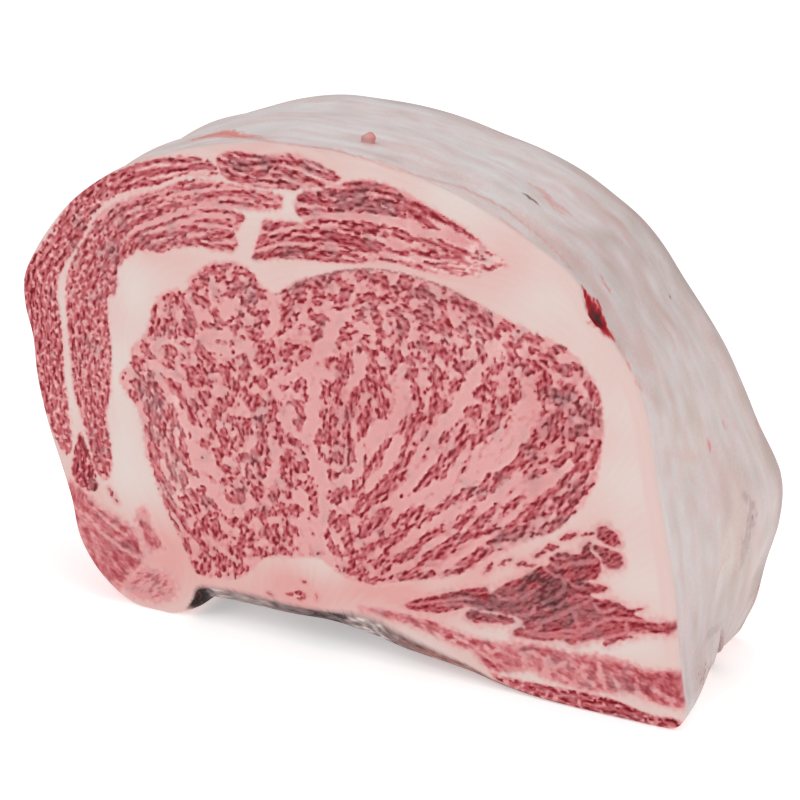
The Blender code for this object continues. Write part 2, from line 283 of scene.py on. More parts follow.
# Tint of the fat between the muscles, from white at -1 to peach pink at 1: x, z, half sizes.
WARM_PATCHES = table("""
    -8 19 26 6 0.55, -35 12 20 4 0.4, 20 24 16 5 0.5, 48 38 18 7 0.75, -66 14 14 14 0.6, -88 20 14 16 0.5,
    30 127 30 5 0.3, 58 118 10 12 -0.05, 62 128 10 6 -0.05, -60 117 20 3 0.15, -71 104 6 10 -0.4,
    88 60 9 30 -0.2, -76 60 5 30 -0.15, -80 48 5 12 -0.35, -5 118 12 4 -0.2, -97 75 2 25 -0.1,
    72 55 8 10 0.3, 95 24 12 3 -0.25, 0 151 40 3 0.05, 90 42 6 5 -0.15
""")

# Way the fibres run on the cut face: x, z and the angle above +X in degrees.
FLOW = table("""
    0 35 60, 5 45 62, 10 35 50, 20 35 38, 30 40 40, 40 40 40, 50 45 38, 20 50 50, 30 55 50, 25 75 62,
    35 80 62, 45 75 55, 45 60 52, 60 60 50, 70 60 55, 60 75 50, 70 70 50, 75 80 62, 70 90 70, 60 95 75,
    50 100 80, 30 100 85, 40 90 75, 20 95 100, 10 90 108, 0 80 80, -3 65 90, 0 115 20, 10 113 10,
    15 118 165, 25 115 160, 35 112 150, 50 108 150, 60 107 155, -20 105 40, -20 92 55, -28 85 60,
    -32 75 75, -15 75 110, -20 60 105, -30 60 100, -35 50 125, -45 60 110, -40 95 150, -45 85 120,
    -55 85 138, -60 80 135, -48 100 130, -62 100 70, -35 110 30, -65 65 100, -62 50 115, -55 40 120,
    -58 30 125, -50 30 100, -40 30 80, -45 20 90, -30 35 60, -20 35 110, -12 45 75, -8 50 60, 0 143 10,
    10 145 175, 20 142 165, 30 138 155, 40 134 155, 48 130 170, -25 125 30, -20 130 15, -10 128 5,
    0 130 175, 10 128 170, 20 128 172, 30 127 178, 40 126 5, 0 125 0, -15 123 5, -35 148 165, -25 148 10,
    -15 150 165, -8 148 160, -30 138 0, -40 137 10, -50 139 15, -55 135 18, -60 133 20, -70 130 30,
    -75 125 45, -70 125 25, -60 125 15, -50 126 10, -42 127 0, -45 123 5, -80 122 60, -75 118 60,
    -85 115 60, -90 110 60, -88 105 40, -60 145 15, -75 140 30, -85 133 40, -95 122 50, -104 112 55,
    -108 100 90, -105 90 92, -104 75 95, -102 60 100, -100 50 110, -90 95 90, -88 85 85, -88 70 90,
    -88 60 100, -86 50 105, -93 50 100, -93 42 80, -85 27 160, -80 20 150, -90 15 130, -70 28 115,
    -70 10 30, 25 22 12, 35 26 25, 45 27 20, 55 32 35, 65 38 38, 75 45 40, 80 50 45, 70 30 20, 80 30 20,
    90 30 12, 100 31 5, 60 22 15, 48 23 5, 30 15 165, 45 12 160, 60 12 150, 75 12 150, 90 12 160,
    100 12 150, 60 3 170, 80 4 178, 95 2.5 175
""")

# Pink seams of fat in the eye muscle: x, z and half width along each.
EYE_SEAMS = tables("""
    -6 24 5, -8.5 33 2.6, -8 42 1.8, -6 50 1.9, -9 58 2.6, -12 66 2.3, -11.5 75 2, -10 83 2, -9.5 90 2.2,
    -7 96 2.2, -3.5 103 2.2, -2 109 1.6; -3 57 1, 3.5 60 1.2, 6 66 1.6, 9 71 2.6, 14 76 3, 18 80 2.4,
    19 88 2.2, 18 95 1; 8 56 0.6, 13 64 1.3, 17 73 1.8; 20 58 1.5, 25 67 2.2, 30 76 2.2, 35 84 2,
    39 92 2.2, 43 98 1.2; 30 58 1.6, 36 65 1.8, 42 72 1.4; 40 64 1.6, 47 73 2.6, 54 82 3.4, 58 89 3.4,
    56 96 1; 44 57 1.2, 55 65 2.4, 62 68 2.2, 70 75 1; 14 52 1, 22 55 2, 33 62 1.6; 20 42 0.6, 30 50 1.6,
    40 57 1.3; -24 83 1, -17 87 1.8, -10 92 1.8; -24 97 0.8, -19 99 0.8, -13 106 0.6; -22 112 1.4,
    -23 104 1.3, -25 97 1.2; -35 92 1, -42 91 1.6, -48 94 1.4, -40 96 1.3, -33 93 1.4; -45 108 0.6,
    -41 102 1.9, -37 107 1.6; -55 66 2, -51 58 2.8, -48 51 3.2, -44 44 2.4, -40 38 1.6; -66 88 1,
    -60 91 1.2, -53 93 0.8; -65 82 1.5, -58 80 0.8, -52 75 0.7; -22 80 1, -18 76 1.6, -20 70 1.2;
    -26 66 0.8, -23 58 0.9, -27 52 1.2; -18 50 1, -14 48 2, -15 40 2, -12 34 2.5; -58 44 0.8, -50 47 1.2;
    -35 55 0.4, -33 44 0.9, -38 40 1.2; 4 98 1.6, 5 92 1.2, 2 87 0.6; 22 108 0.6, 21 104 1; 45 104 1.4,
    50 103 1; 0 108 1.4, 10 103 0.6
""")
STRIP_SEAMS = tables("""
    -15 134.8 0.7, -6 136 0.4, 2 137.7 0.9, 12 137.6 1.3, 19 137 1.3, 25 135.4 1.2, 33 135.5 0.9,
    40 132.5 0.8; -28 128 0.4, -15 131.8 0.5, -8 133 0.5, -2 134.5 0.5; -28 123 0.3, -18 126.5 0.5,
    -5 127.2 0.4, 5 126.5 0.6, 14 127.5 0.8, 25 127.3 0.5; 12 132.5 1.2, 15 131 1.4, 22 131 0.6;
    -45 144.6 0.6, -55 141.2 0.5, -62 137.5 0.4, -70 135.8 0.8; -42 140.5 0.3, -52 137.5 0.5, -62 134 0.5,
    -72 129.5 0.4; -30 134.7 0.8, -40 134.8 0.6, -50 132.5 0.5, -60 128.5 0.6, -70 124.5 0.5;
    -36 131.2 0.7, -45 131 0.6, -55 128 0.5, -65 124 0.3; -83 126.5 0.9, -78 131.5 1
""")
# Seams of the plates in the muscle at the lower right.
PLATE_SEAMS = tables("""
    19.5 21 0.1, 26 23 0.2, 32 25 0.35, 38 27 0.3, 42 27.5 0.1; 30 23 0.1, 35 24.5 0.3, 40 25.5 0.4,
    45 25.3 0.2; 55.5 25.4 0.3, 58.5 26 0.45, 60.5 27.7 0.4, 61 29.5 0.25; 57 31 0.2, 58.5 32.5 0.5,
    60.5 34.3 0.25, 62.5 36 0.15; 63.5 31 0.25, 66.5 33.2 0.45, 69 35.5 0.4, 70 38 0.4, 69 40 0.3,
    66.5 40.5 0.3, 63.5 42 0.25; 61.5 24.5 0.4, 64 25.5 0.35, 67 27.3 0.5, 70.5 29.5 0.5, 74 32.3 0.5,
    77 34.3 0.35, 79 36.5 0.3; 73.3 30.5 0.25, 73.5 28 0.5, 74.3 26 0.4, 74 24 0.3; 66 21.8 0.5,
    70 23.5 0.4, 74 24.3 0.5, 78 26.2 0.4, 81 29 0.3, 84 30.5 0.35, 88 31.3 0.4, 93 32.2 0.3, 98 33 0.2;
    60.5 20.8 0.6, 62.5 23 0.4, 63.5 25 0.4; 82 24 0.3, 86 25.5 0.4, 89 27.8 0.45, 88.5 30 0.3; 75 21 0.5,
    80 22.9 0.5, 84 24.4 0.4, 90 27.5 0.3, 97 29 0.2; 58 20.8 0.5, 64 20.9 0.6, 70 21.8 0.6, 75 23.2 0.3;
    65 44.3 0.3, 68 43.2 0.4, 72 45 0.5, 76 46.3 0.6, 79 47.2 0.5; 70.5 40 0.3, 73 38.2 0.3,
    75.5 38.7 0.3; 67 45.8 0.3, 69.5 46.2 0.3; 48 31 0.15, 52 29.5 0.25, 56 32 0.15; 64 29 0.2, 68 31 0.2,
    71 34 0.2; 79 34 0.2, 81 32 0.35, 85 34 0.2; 71 33 0.2, 73 35 0.2, 77 36 0.2
""")
# Seams of the strip along the rib side and of the bottom lobe.
RIB_SEAMS = tables("""
    -97 29.5 0.2, -92 27 0.3, -88.2 23.7 0.35, -80.6 19.4 0.4, -73 16.7 0.5; -90 31 0.1, -84 26.5 0.25,
    -78.5 24 0.2; 57.5 14 0.3, 58 11 0.5, 60 9 0.4, 62 7.5 0.3; 57 13.5 0.3, 60 14.7 0.4, 63.5 14 0.4,
    64.8 11.5 0.5, 64 9 0.4; 65.5 14.5 0.4, 67 12 0.4, 69 12.5 0.3, 71 14 0.3; 70.5 9 0.3, 72.5 8 0.4,
    72.5 6 0.3; 76 12 0.3, 78 10 0.4, 80 9 0.4; 73 13.5 0.3, 75 12 0.3, 76.5 14 0.3; 40 12 0.3, 43 9 0.4,
    45 7 0.4, 46 5.5 0.3; 44 11 0.3, 48 9.5 0.4, 51 6.5 0.4, 53 5.5 0.3; 48 10.5 0.3, 52 8.5 0.35,
    55 5.8 0.3; 46 13 0.5, 48 12 0.3, 50 13.5 0.4; 81 16 0.3, 81.5 12 0.6, 83 9 0.4; 86 12 0.3, 88 9 0.5,
    90 8 0.3; 92.5 14 0.2, 93 10 0.6, 95 8 0.5; 30 14 0.3, 33 12.5 0.3, 36 13 0.3; 36 14.5 0.3, 40 13 0.3,
    43 12 0.3; 97 12 0.5, 101 10 0.7, 104 9.5 0.4; 66 8 0.5, 65.5 11 0.5
""")
# Bundles of lean over the eye and along the base: x, z and half width along each.
BUNDLES = tables("""
    -29.5 121 0.7, -26.5 122.3 0.9; -25 122.5 0.6, -23 124.3 0.9; -20.5 122.5 0.6, -18.5 123.8 0.9,
    -15 124 0.5; -15 125.5 0.8, -12.5 124.3 0.8, -8 123.8 0.9, -3 123 0.8, 3 123 0.9, 6.5 124.3 0.8;
    -19.5 125 0.6, -16 125.8 0.7, -13 126.8 1.2, -11 127.3 1; -9.5 127.8 1, -7 127.6 0.9, -4.5 126.2 0.5;
    -8 125.3 0.8, -4 125.5 1, -1 125 0.8; -29 124.3 0.6, -26 126 1, -23.5 126.7 1.2; -28.5 127.3 1,
    -26 128.6 0.7, -23 130 0.6, -18 131 0.6, -12 131.8 0.7, -8 132.8 0.8, -6.3 131 1; -21.5 127.7 1,
    -17 129.3 0.8, -11 130.2 0.7; -25.5 131.5 1.1, -22 132.8 0.7, -18 133 0.5, -15.5 132.3 0.4;
    -5 131.2 0.8, -1 130.7 1.3, 2 129.8 1.2, 6 129.3 0.9, 9 129 1; 0 127.3 0.8, 4 126.5 0.7, 7 127.5 0.8,
    9.5 127.5 0.9, 13 126.3 0.7; -11 133.6 0.9, -8.5 134.5 0.6; -8 133 0.6, -7 135.5 0.6, -4 136 0.5;
    -15 135 0.9, -12.5 135.3 0.6; -14.5 136.5 0.5, -10 137 0.4; 0.5 135.3 0.8, 3.5 134 1.1, 4.5 131.8 0.6;
    6.5 134.5 0.9, 9 135 1.2, 11.5 134.8 1.2, 13.5 133.5 0.8; 16.5 134 0.9, 19 134 1.3, 20.5 132 1,
    22 131.3 0.6; 10.5 130.8 0.6, 14 130.5 0.5; 15 129.8 0.5, 18 128.8 0.8, 22 128 0.6; 14.5 125.7 0.5,
    17.5 125.6 1, 21 125 0.6, 26 124 0.4; 24 133 0.7, 27 133.2 1.2, 28 130 1.3, 30 128.5 0.9, 35 128.7 1,
    38 131.3 0.9; 31 132.5 0.9, 33 131.5 1, 39 131.6 0.8, 42 131.5 0.6; 30 126.5 0.4, 34 125.5 0.5,
    38 126.5 0.4, 45 127.5 0.5, 48 128.8 0.5; 34 124.8 0.5, 38 124.8 0.6, 42 125 0.4; 35 135 0.6,
    36 137.5 1; 38 138 0.8, 40.5 136.5 0.9, 43 135 0.7, 45 133.5 0.5; -14 140.3 0.9, -8 140 1,
    -2 139.5 1.2, 4 139.7 1.2, 10 139.8 1, 16 139.5 0.9; -13 141.8 0.7, -6 142.6 0.9, 0 143 1.3,
    5 142.3 1.5, 10 141.5 1.2; 2 145.5 1.2, 8 146.3 1.3, 14 145.5 1.6, 20 143 1.3, 26 141 1.5, 31 140 1;
    12 143.3 1.4, 17 141.5 1.6, 18.5 139.5 1; 21.5 140.5 0.9, 25 139.3 1.4, 27 137.7 1; 54.5 3.6 0.8,
    59 3.8 1, 64 2.8 0.8; 62 4.7 0.5, 67 4 0.8, 72 3.8 0.8, 76 3.2 0.5; 70 5.2 0.4, 76 5.2 0.4,
    80 4.6 0.8, 86.5 4.5 0.6; 70 2.2 1, 76 2 1.2, 83 2.3 1; 84 1.5 1, 90 2.2 1.5, 97 2.8 1; 88 4.2 0.6,
    93 3.6 1, 97.5 3 0.8; 100 2.6 0.8, 104 2.8 0.9, 105.5 2 0.5; 66 1.1 0.6, 69 0.8 0.6; 57 1.5 0.5,
    63 0.8 0.6
""")
# Threads and dots of lean in the fat between the muscles.
THREADS = tables("""
    44.8 36.5 0.3, 46.5 38.5 0.8, 47.5 40 0.4; 49.5 40 0.2, 51.5 41.3 0.5, 53.5 42.5 0.2; 55.5 41.2 0.3,
    57.2 42.3 0.8, 59 41.7 0.4, 61 42.4 0.2; 60.5 44.8 0.3, 62.5 46.2 0.6, 64.3 47.4 0.3; 64 47.8 0.3,
    65.5 48.6 0.9, 67.3 49.3 0.3; 68.5 51.8 0.2, 70.5 53 0.7, 72.3 54 0.5, 73.5 54.5 0.2; 75 54.3 0.15,
    78 55.6 0.15; 80.3 50.7 0.4, 81 51.2 0.5; 81 49 0.2, 81.6 48.7 0.3; -15 21.5 0.3, -14 21.3 0.2;
    -17.3 17.2 0.4, -16 17.4 0.7, -14.6 17 0.7; -16.5 15.4 0.5, -15 15.8 0.5; -20.5 16 0.3,
    -18.8 16.3 0.5; -27 15 0.3, -25.5 14.3 0.4; -10.3 16.3 0.2, -10.3 18 0.3; -84 38.5 0.3,
    -82.7 36.5 0.4, -81.3 34.8 0.3; 83 22.8 0.5, 87 25.2 0.4, 92 26.6 0.2
""")
# Patches of darker lean, or of paler lean where negative: x, z, half sizes, change of tone.
DARK_PATCHES = table("""
    -82.5 8 3 2 0.16, -99 27 2 9 0.06, -86.5 20.5 2 1.5 0.1, -77 21 1.8 1.2 0.1, -88 13.5 3 2.5 0.08,
    63 16.5 2 1 0.25, 51 8 6 2 0.14, 83 4.8 5 0.8 0.3, 102 2.8 3 1.2 0.25, 92 3 5 1.5 0.12,
    103 13 3 4 0.05, 69 16 2.5 1.2 0.1, 70 80 10 28 0.1, 62 37.5 5 3 0.1, 73 35.5 3.5 3 0.12,
    67 32 3 2 0.12, 100 31.3 4 1.2 -0.12, 30 15.5 14 3 -0.12, 93 9 8 2.5 -0.1, 56 5 3 1 0.15,
    -62 78 9 30 -0.07, -45 88 14 20 -0.04, -100 53 2.5 5 -0.05, 48 107 16 6 -0.12, 20 134 22 9 -0.08,
    -60 50 7 16 -0.1, -110 99 2 4 0.15, -85 132 4 2 0.12, 45 130 7 6 -0.32, 32 126 12 2 -0.25,
    -91 46 4 7 0.08, 0 130 5 2 0.12, -8 148 5 2.5 -0.1, -93 91 3 4 0.12
""")
# Patches where the lean has dried grey, or is redder where negative: x, z, half sizes, strength.
GREY_PATCHES = table("""
    70 92 5.5 7 0.9, -33 107 8 5 0.5, -30 148 8 3 0.8, 10 143 10 3.5 0.6, -12 149 7 2.5 0.7,
    -66 72 5 8 0.7, -61 56 5 10 0.6, -28 50 6 4 0.6, 55 49 9 3.5 0.7, 60 32 16 8 1.1, 45 25 8 3 0.6,
    75 12 10 3 0.6, -83 33 5 8 0.4, -80 128 14 5 0.35, -90 38 4 3 0.6, -65 125 14 4 0.35,
    20 118 30 5 0.25, 70 72 6 10 0.3, 30 108 12 6 0.3, -50 102 14 8 0.2, -30 72 10 9 0.25, 0 64 5 4 0.3,
    -75 141 14 4 -0.7, -109 102 4 12 -0.8, -104 60 4 14 -0.6, -98 24 3 12 -0.8, 60 10 9 3 -0.5,
    102 12 6 6 -0.7, 95 30 10 3 -0.4, 20 45 22 12 -0.25, -45 25 14 8 -0.3, -20 100 6 10 -0.3,
    40 90 14 8 -0.2
""")

# Raster of the drawn marbling, and the grid of noise that is laid round the outside.
SHEET_LOW_MM = (-117.0, -3.0)
SHEET_SIZE_MM = (234.0, 163.0)
REGION_REACH_MM = 8.0
SEAM_REACH_MM = 6.0
FLOW_SOFT_MM = 3.0
BACK_SEED = 700
NOISE_ROWS = 221
NOISE_PITCH_MM = 0.5
NOISE_AROUND_MM = 0.86
BLUR_PER_PERIOD = 0.175

# Camera: distance, height above the horizon and turn to the right, for an 800 x 800 picture.
CAMERA_AIM_MM = (3.476, 0.0, 71.807)
CAMERA_DISTANCE_MM = 650.0
CAMERA_RISE = math.radians(20.0)
CAMERA_TURN = math.radians(26.8955)
CAMERA_LENS_MM = 96.51
SENSOR_MM = 36.0

# Stage: half size and glow of the floor, the room's light, what the softboxes point at, and the
# place, size and power of each.
FLOOR_HALF_M = 3.0
FLOOR_GLOW = 0.36
WHITE = (1.0, 1.0, 1.0, 1.0)
ROOM_LIGHT = 0.57
LIGHT_AIM_M = (0.0, 0.0, 0.07)
SOFTBOXES = (
    ("key_softbox", (-0.55, -1.1, 1.25), 1.1, 6.3),
    ("side_softbox", (1.2, -0.5, 0.9), 1.1, 3.9),
    ("top_softbox", (0.1, 0.2, 1.5), 1.2, 5.0),
)

# Thickness of the two cut faces' slabs, the angle from which an edge is sharp, and the radius of
# the circle the outline is bent into.
SLAB_MM = 1.2
SHARP_ANGLE = math.radians(50.0)
ROUND_MM = 98.7
# How far the outline of a cut face is felt inside it, and where its relief fades towards it.
RIM_REACH_MM = 9.0
RELIEF_FADE_MM = (1.0, 5.0)
# Peach band down the rim of the cap: its warmth, and where it starts.
RIM_WARMTH = 0.36
RIM_BAND_X_MM = (55.0, 75.0)

# Blood in the torn pocket: how far its colour runs out, and lines that start with the strength and
# go on with x, y, z and half width.
BLOOD_EDGE_MM = 1.0
BLOOD_MM = tables("""
    0.72, 71.3 -29.4 125.5 0.15, 72.4 -29.4 123.6 0.5, 73.4 -29.3 121.7 0.9, 74.7 -29.4 119.6 1.5,
    75.7 -29.6 117.8 2.1, 76.6 -29.9 116.1 2, 77.9 -29.9 114.8 1; 1, 75.2 -28.9 118.6 0.3,
    76.4 -29.2 116.7 1.1, 77.2 -29.5 115.6 0.3; 0.45, 76.7 -29.8 115.7 1.4, 78.5 -30.5 114.2 1.7,
    80 -29.9 113.1 1.3, 81 -29.4 111.7 0.6; 0.55, 74.1 -27.7 121.8 0.4, 74.9 -26.6 120.7 0.6,
    75.9 -27.4 119.4 0.6; 0.5, 74.6 -32.5 116.4 0.3, 76.2 -31.5 116.1 0.8; 0.62, 108 29.3 20.7 0.3,
    107.8 28.3 18.3 0.9, 107.2 27.3 15.3 0.9, 106.6 27.5 12.3 0.5, 105.9 29.7 8 0.2
""")
# Smears and streaks on the outside, by what they change: lines that start with strength and
# softness and go on with x, y, z and half width.
STROKES = {
    "rosy": tables("""
        1 1.2, -62 -13.5 148.2 0.6, -56.8 -13.3 149.7 2.2, -51 -14.1 151.3 2.6, -42.9 -19 152.6 2.6,
        -36.4 -21.3 153.4 2, -28.6 -27.7 154.7 1.2, -22.7 -30.5 155.1 0.4; 0.95 0.9, -30 -29.5 155.1 0.2,
        -22.7 -30.3 155.1 0.4, -14.8 -30.1 155 0.5, -6.1 -28.6 154.7 0.5, 2 -30.2 154 0.5,
        9.5 -31 153 0.6, 17.2 -30.8 151.3 0.6, 24.6 -27.4 149.3 0.5, 32.3 -24.3 147.2 0.5,
        37.9 -23.4 145.1 0.5, 43.7 -22.8 142.8 0.4, 50.1 -23.4 139.8 0.4, 58.1 -24.5 135.2 0.5,
        67.1 -28 129.6 0.4; 0.85 1, 42.1 1.6 143.3 0.3, 46.5 0.7 141.7 1, 50.3 -1.7 139.8 1.2,
        52.9 -0.6 138.1 1, 54.9 -0.8 136.9 0.4; 0.55 3.5, 49.1 -21.1 140.5 1, 56.8 -21.5 135.9 3,
        62.2 -23.7 132.9 2.5, 68.7 -21.2 128.1 1; 0.4 3.5, 12.3 -21.4 152.6 1, 23.8 -19.4 149.4 2,
        34.2 -18.7 147 1.5; 0.45 3, 82.7 -14.2 110.3 1, 87.2 -21.6 104.5 3, 84.8 -19.4 107.8 2; 0.4 4,
        101.4 0.4 70 2, 104.2 1.8 63.9 4, 103.8 -5.1 60.2 3; 0.9 0.5, 71.7 -16.9 125.3 0.2,
        73.3 -18.5 123.4 0.3, 74.7 -18.2 121.8 0.3; 0.55 0.9, 82.6 -1.3 110.1 0.2, 85.1 -0.5 107.2 0.5,
        87.6 -0.6 103.8 0.5, 88.7 -2.4 101.8 0.2; 0.5 1.6, 86.2 -31.7 104.1 0.5, 89.6 -27.3 98.6 1,
        91.4 -24 94.4 0.4; 0.8 1.4, 79.6 -29 113.6 0.8, 82 -28.8 110.2 1, 84.8 -29.8 106.7 0.8; 0.5 1.2,
        77.5 -32.4 114.3 0.4, 77.1 -32.5 110.6 0.8, 78.6 -32.5 100.8 0.5; 0.4 1.8, 94.9 -24.5 80 0.6,
        96.5 -15.7 76.3 1.2, 99.2 -6.3 72.6 0.6; 0.6 0.6, 106.1 9.5 64.6 0.1, 106.4 7.1 61.8 0.2; 0.6 0.7,
        107.6 -1 42.1 0.2, 106.7 -4.5 40.8 0.35, 106.3 -7.7 36.4 0.3, 106.1 -8.5 33.6 0.15
    """),
    "stain": tables("""
        1.15 1, -60.5 -13.5 148.6 0.4, -56.8 -13 149.7 1.3, -51 -13.6 151.3 1.5, -45.5 -16.5 152.3 1.1,
        -42.9 -19 152.6 0.9, -36.4 -21.5 153.4 0.7; 0.8 0.7, -52.5 -16 150.8 0.3, -49 -17 151.6 0.7,
        -45.5 -19.5 152.1 0.4; 0.4 0.6, -24 -30.2 155.1 0.1, -14.8 -30.1 155 0.25, -6.1 -28.6 154.7 0.25,
        2 -30.2 154 0.2, 9.5 -31 153 0.25, 17.2 -30.8 151.3 0.1; 0.55 0.7, 47.9 -1.1 141.1 0.3,
        51.6 -4 139 0.6, 54.2 -2.9 137.4 0.6; 0.8 0.4, 72.1 -17.1 124.9 0.2, 73.8 -18.3 122.8 0.2,
        75 -18.1 121.5 0.15; 0.85 0.4, 85.2 -30 106.2 0.3, 86.2 -30.4 104.8 0.45; 0.7 0.5,
        88.3 -30.9 101.3 0.2, 89.5 -29.3 98.7 0.35; 1 0.5, 99 -0.4 76 0.25, 99.6 -0.1 74.4 0.5,
        100 -0.3 73.1 0.3; 0.75 0.5, 100 10.4 77.6 0.3, 100.7 11 76 0.4; 0.6 0.6, 104.1 28.8 72.5 0.3,
        104.9 28.4 70.9 0.4
    """),
    "pale": tables("""
        1 0.6, -44.9 -20.7 152.1 0.3, -42.2 -20.8 152.6 0.8, -38.5 -22.4 153.1 0.3; 0.8 0.8,
        50.6 -10.1 140.1 0.2, 53.2 -8.4 138.3 0.7, 55.6 -6.7 136.7 0.3; 0.7 2.2, 38.2 -23.9 145 0.5,
        43.2 -18.3 143.4 1.5, 50.6 -17.7 139.9 2, 57.6 -16.5 135.6 1.5, 64.4 -18.2 131.8 0.6; 0.6 1.8,
        -23.3 -15 156.2 0.5, -13.6 -8.8 155.9 1.5, -1.8 -6.3 155.4 1.5, 10.9 -6.1 154.1 1, 22 4 149.9 0.5;
        0.7 1.2, -0.6 -12.4 154.8 0.4, 4.2 -10.4 154.3 0.8, 7.4 -9.3 154.1 0.3; 0.65 2,
        66.5 26.2 128.3 0.4, 72.2 24.2 122.6 1.5, 77 22.7 116.4 1.5, 81.7 17.5 110 0.6; 0.7 1.6,
        63.8 7.6 132.5 0.3, 67.2 8.4 129.5 1, 70.8 9 125.7 0.4; 0.7 0.5, 108.3 1.3 41.3 0.1,
        107.2 -2.4 40.4 0.25, 106.6 -5.6 39.3 0.15
    """),
    "beige": tables("""
        0.9 1.6, -50.2 -8 152.6 0.3, -45.3 -6.3 154.3 1.2, -40.1 -4.6 155.4 1.5, -37 0.1 155.6 0.4;
        0.75 4, 105.5 5.3 62.9 2, 107.6 2.6 51.9 4, 107.5 -1.4 41 3, 108.3 9.7 23.9 2; 0.5 4,
        98.2 -4.1 77.1 1.5, 98.5 -12.4 71 3, 98.7 -20.3 65 2
    """),
    # Painted shade: the first line darkens the slit in the fat, the others small spots and a streak on the
    # fat side.
    "shade": tables("""
        1.5 0.7, 44.8 -8.3 143 0.05, 46.3 -8.7 142.4 0.3, 48 -9.1 141.6 0.35, 49.2 -9.2 140.9 0.05;
        0.8 0.3, 80.4 15.4 111.7 0.3, 80.6 15.1 111.4 0.3; 0.7 0.4, 110.6 10 51.8 0.25,
        110.7 9.8 50.7 0.25; 0.35 1.6, 108.4 8.3 57.7 0.4, 110.3 9.8 52.8 0.8, 110.1 6.4 43.1 1,
        109.6 5.5 37 0.4
    """),
}

# Colours of cut beef by tone, of blood from its edge to its middle, of painted shade and marks, and of
# silverskin.
FLESH_STOPS = (
    (0.0, "#570A13"), (0.131, "#6E111B"), (0.254, "#87262F"), (0.369, "#9F434A"), (0.485, "#B25A60"),
    (0.6, "#C27074"), (0.708, "#CF888A"), (0.792, "#D79897"), (0.869, "#DEA8A6"), (0.938, "#E3BBB7"),
    (1.0, "#EAC9C6"),
)
BLOOD_STOPS = ((0.0, "#E08A84"), (0.25, "#C4242F"), (0.5, "#930A1B"), (0.75, "#500610"), (1.0, "#0E0405"))
SHADE_STOPS = ((0.0, "#FFFFFF"), (0.5, "#A58D8E"), (1.0, "#3E3133"))
# The film's darkest stops are painted shade on the bottom lobe's wall.
FILM_GREY_STOPS = (
    (0.0, "#080304"), (0.16, "#1E1214"), (0.3, "#544446"), (0.55, "#837776"), (0.8, "#AEA3A1"),
    (1.0, "#E0D6D3"),
)
FILM_BROWN_STOPS = (
    (0.0, "#120304"), (0.16, "#2A0D0F"), (0.3, "#6B3433"), (0.55, "#946560"), (0.8, "#B58D85"),
    (1.0, "#D9BDB6"),
)


def smooth(low, high, value):
    share = np.clip((value - low) / (high - low), 0.0, 1.0)
    return share * share * (3.0 - 2.0 * share)


def mix(a, b, share):
    return a * (1.0 - share) + b * share


def linear(hex_colour, alpha=1.0):
    """sRGB hex to the linear colour that Blender's sockets take."""
    values = [int(hex_colour[i:i + 2], 16) / 255.0 for i in (1, 3, 5)]
    return tuple(v / 12.92 if v <= 0.04045 else ((v + 0.055) / 1.055) ** 2.4 for v in values) + (alpha,)


def waves(rows, x, y, z):
    return sum(
        strength * np.sin(per_x * x + per_y * y + per_z * z + phase)
        for strength, per_x, per_y, per_z, phase in rows
    )


def per_metre(size_mm):
    """Scale of a noise on Object coordinates whose features are size_mm across."""
    return 1.0 / (size_mm * MM)


# ---------------------------------------------------------------- shape of the meat


def spline(points, steps, closed=True):
    """Catmull-Rom curve through rows of numbers."""
    rows = np.asarray(points, float)
    if closed:
        a, b, c, d = np.roll(rows, 1, 0), rows, np.roll(rows, -1, 0), np.roll(rows, -2, 0)
    else:
        padded = np.vstack([2 * rows[0] - rows[1], rows, 2 * rows[-1] - rows[-2]])
        a, b, c, d = padded[:-3], padded[1:-2], padded[2:-1], padded[3:]
    parts = []
    for step in range(steps):
        t = step / steps
        parts.append(
            0.5 * (
                2.0 * b + (c - a) * t + (2.0 * a - 5.0 * b + 4.0 * c - d) * t ** 2
                + (3.0 * b - a - 3.0 * c + d) * t ** 3
            )
        )
    curve = np.stack(parts, 1).reshape(-1, rows.shape[1])
    return curve if closed else np.vstack([curve, rows[-1]])


def outline(points):
    curve = spline(points, STEPS)
    curve[:, 1] = np.maximum(curve[:, 1], 0.0)
    return curve


def outward(curve):
    along = np.roll(curve, -1, axis=0) - np.roll(curve, 1, axis=0)
    across = np.stack([along[:, 1], -along[:, 0]], axis=1)
    return across / np.maximum(np.linalg.norm(across, axis=1), 1e-9)[:, None]


def rim_share(section):
    share = smooth(*SHARP_RIM_X_MM, section[:, 0]) * smooth(*SHARP_RIM_Z_MM, section[:, 1])
    return SHARP_RIM_SHARE + (1.0 - SHARP_RIM_SHARE) * share


ROLLED_MM = FRONT_MM[:ROLL_FIRST] + ROLL_MM + FRONT_MM[ROLL_FIRST + len(ROLL_MM):]
FRONT_CURVE = outline(FRONT_MM)
ROLLED_CURVE = outline(ROLLED_MM)
BACK_CURVE = outline(BACK_MM)
AROUND = len(FRONT_CURVE)


def section_at(y_mm):
    """Outline of the meat at one station of its thickness."""
    turn = float(np.clip((y_mm + HALF_MM) / ROLL_DEPTH_MM, 0.0, 1.0))
    turn = math.sqrt(1.0 - (1.0 - turn) ** 2)
    through = (y_mm + HALF_MM) / (2.0 * HALF_MM)
    near = FRONT_CURVE + (ROLLED_CURVE - FRONT_CURVE) * turn
    section = near + (BACK_CURVE - near) * float(smooth(0.0, 1.0, through))
    swell = CAP_SWELL_MM * math.sin(math.pi * through)
    return section + outward(section) * (swell * smooth(0.0, SWELL_FOOT_MM, section[:, 1]))[:, None]


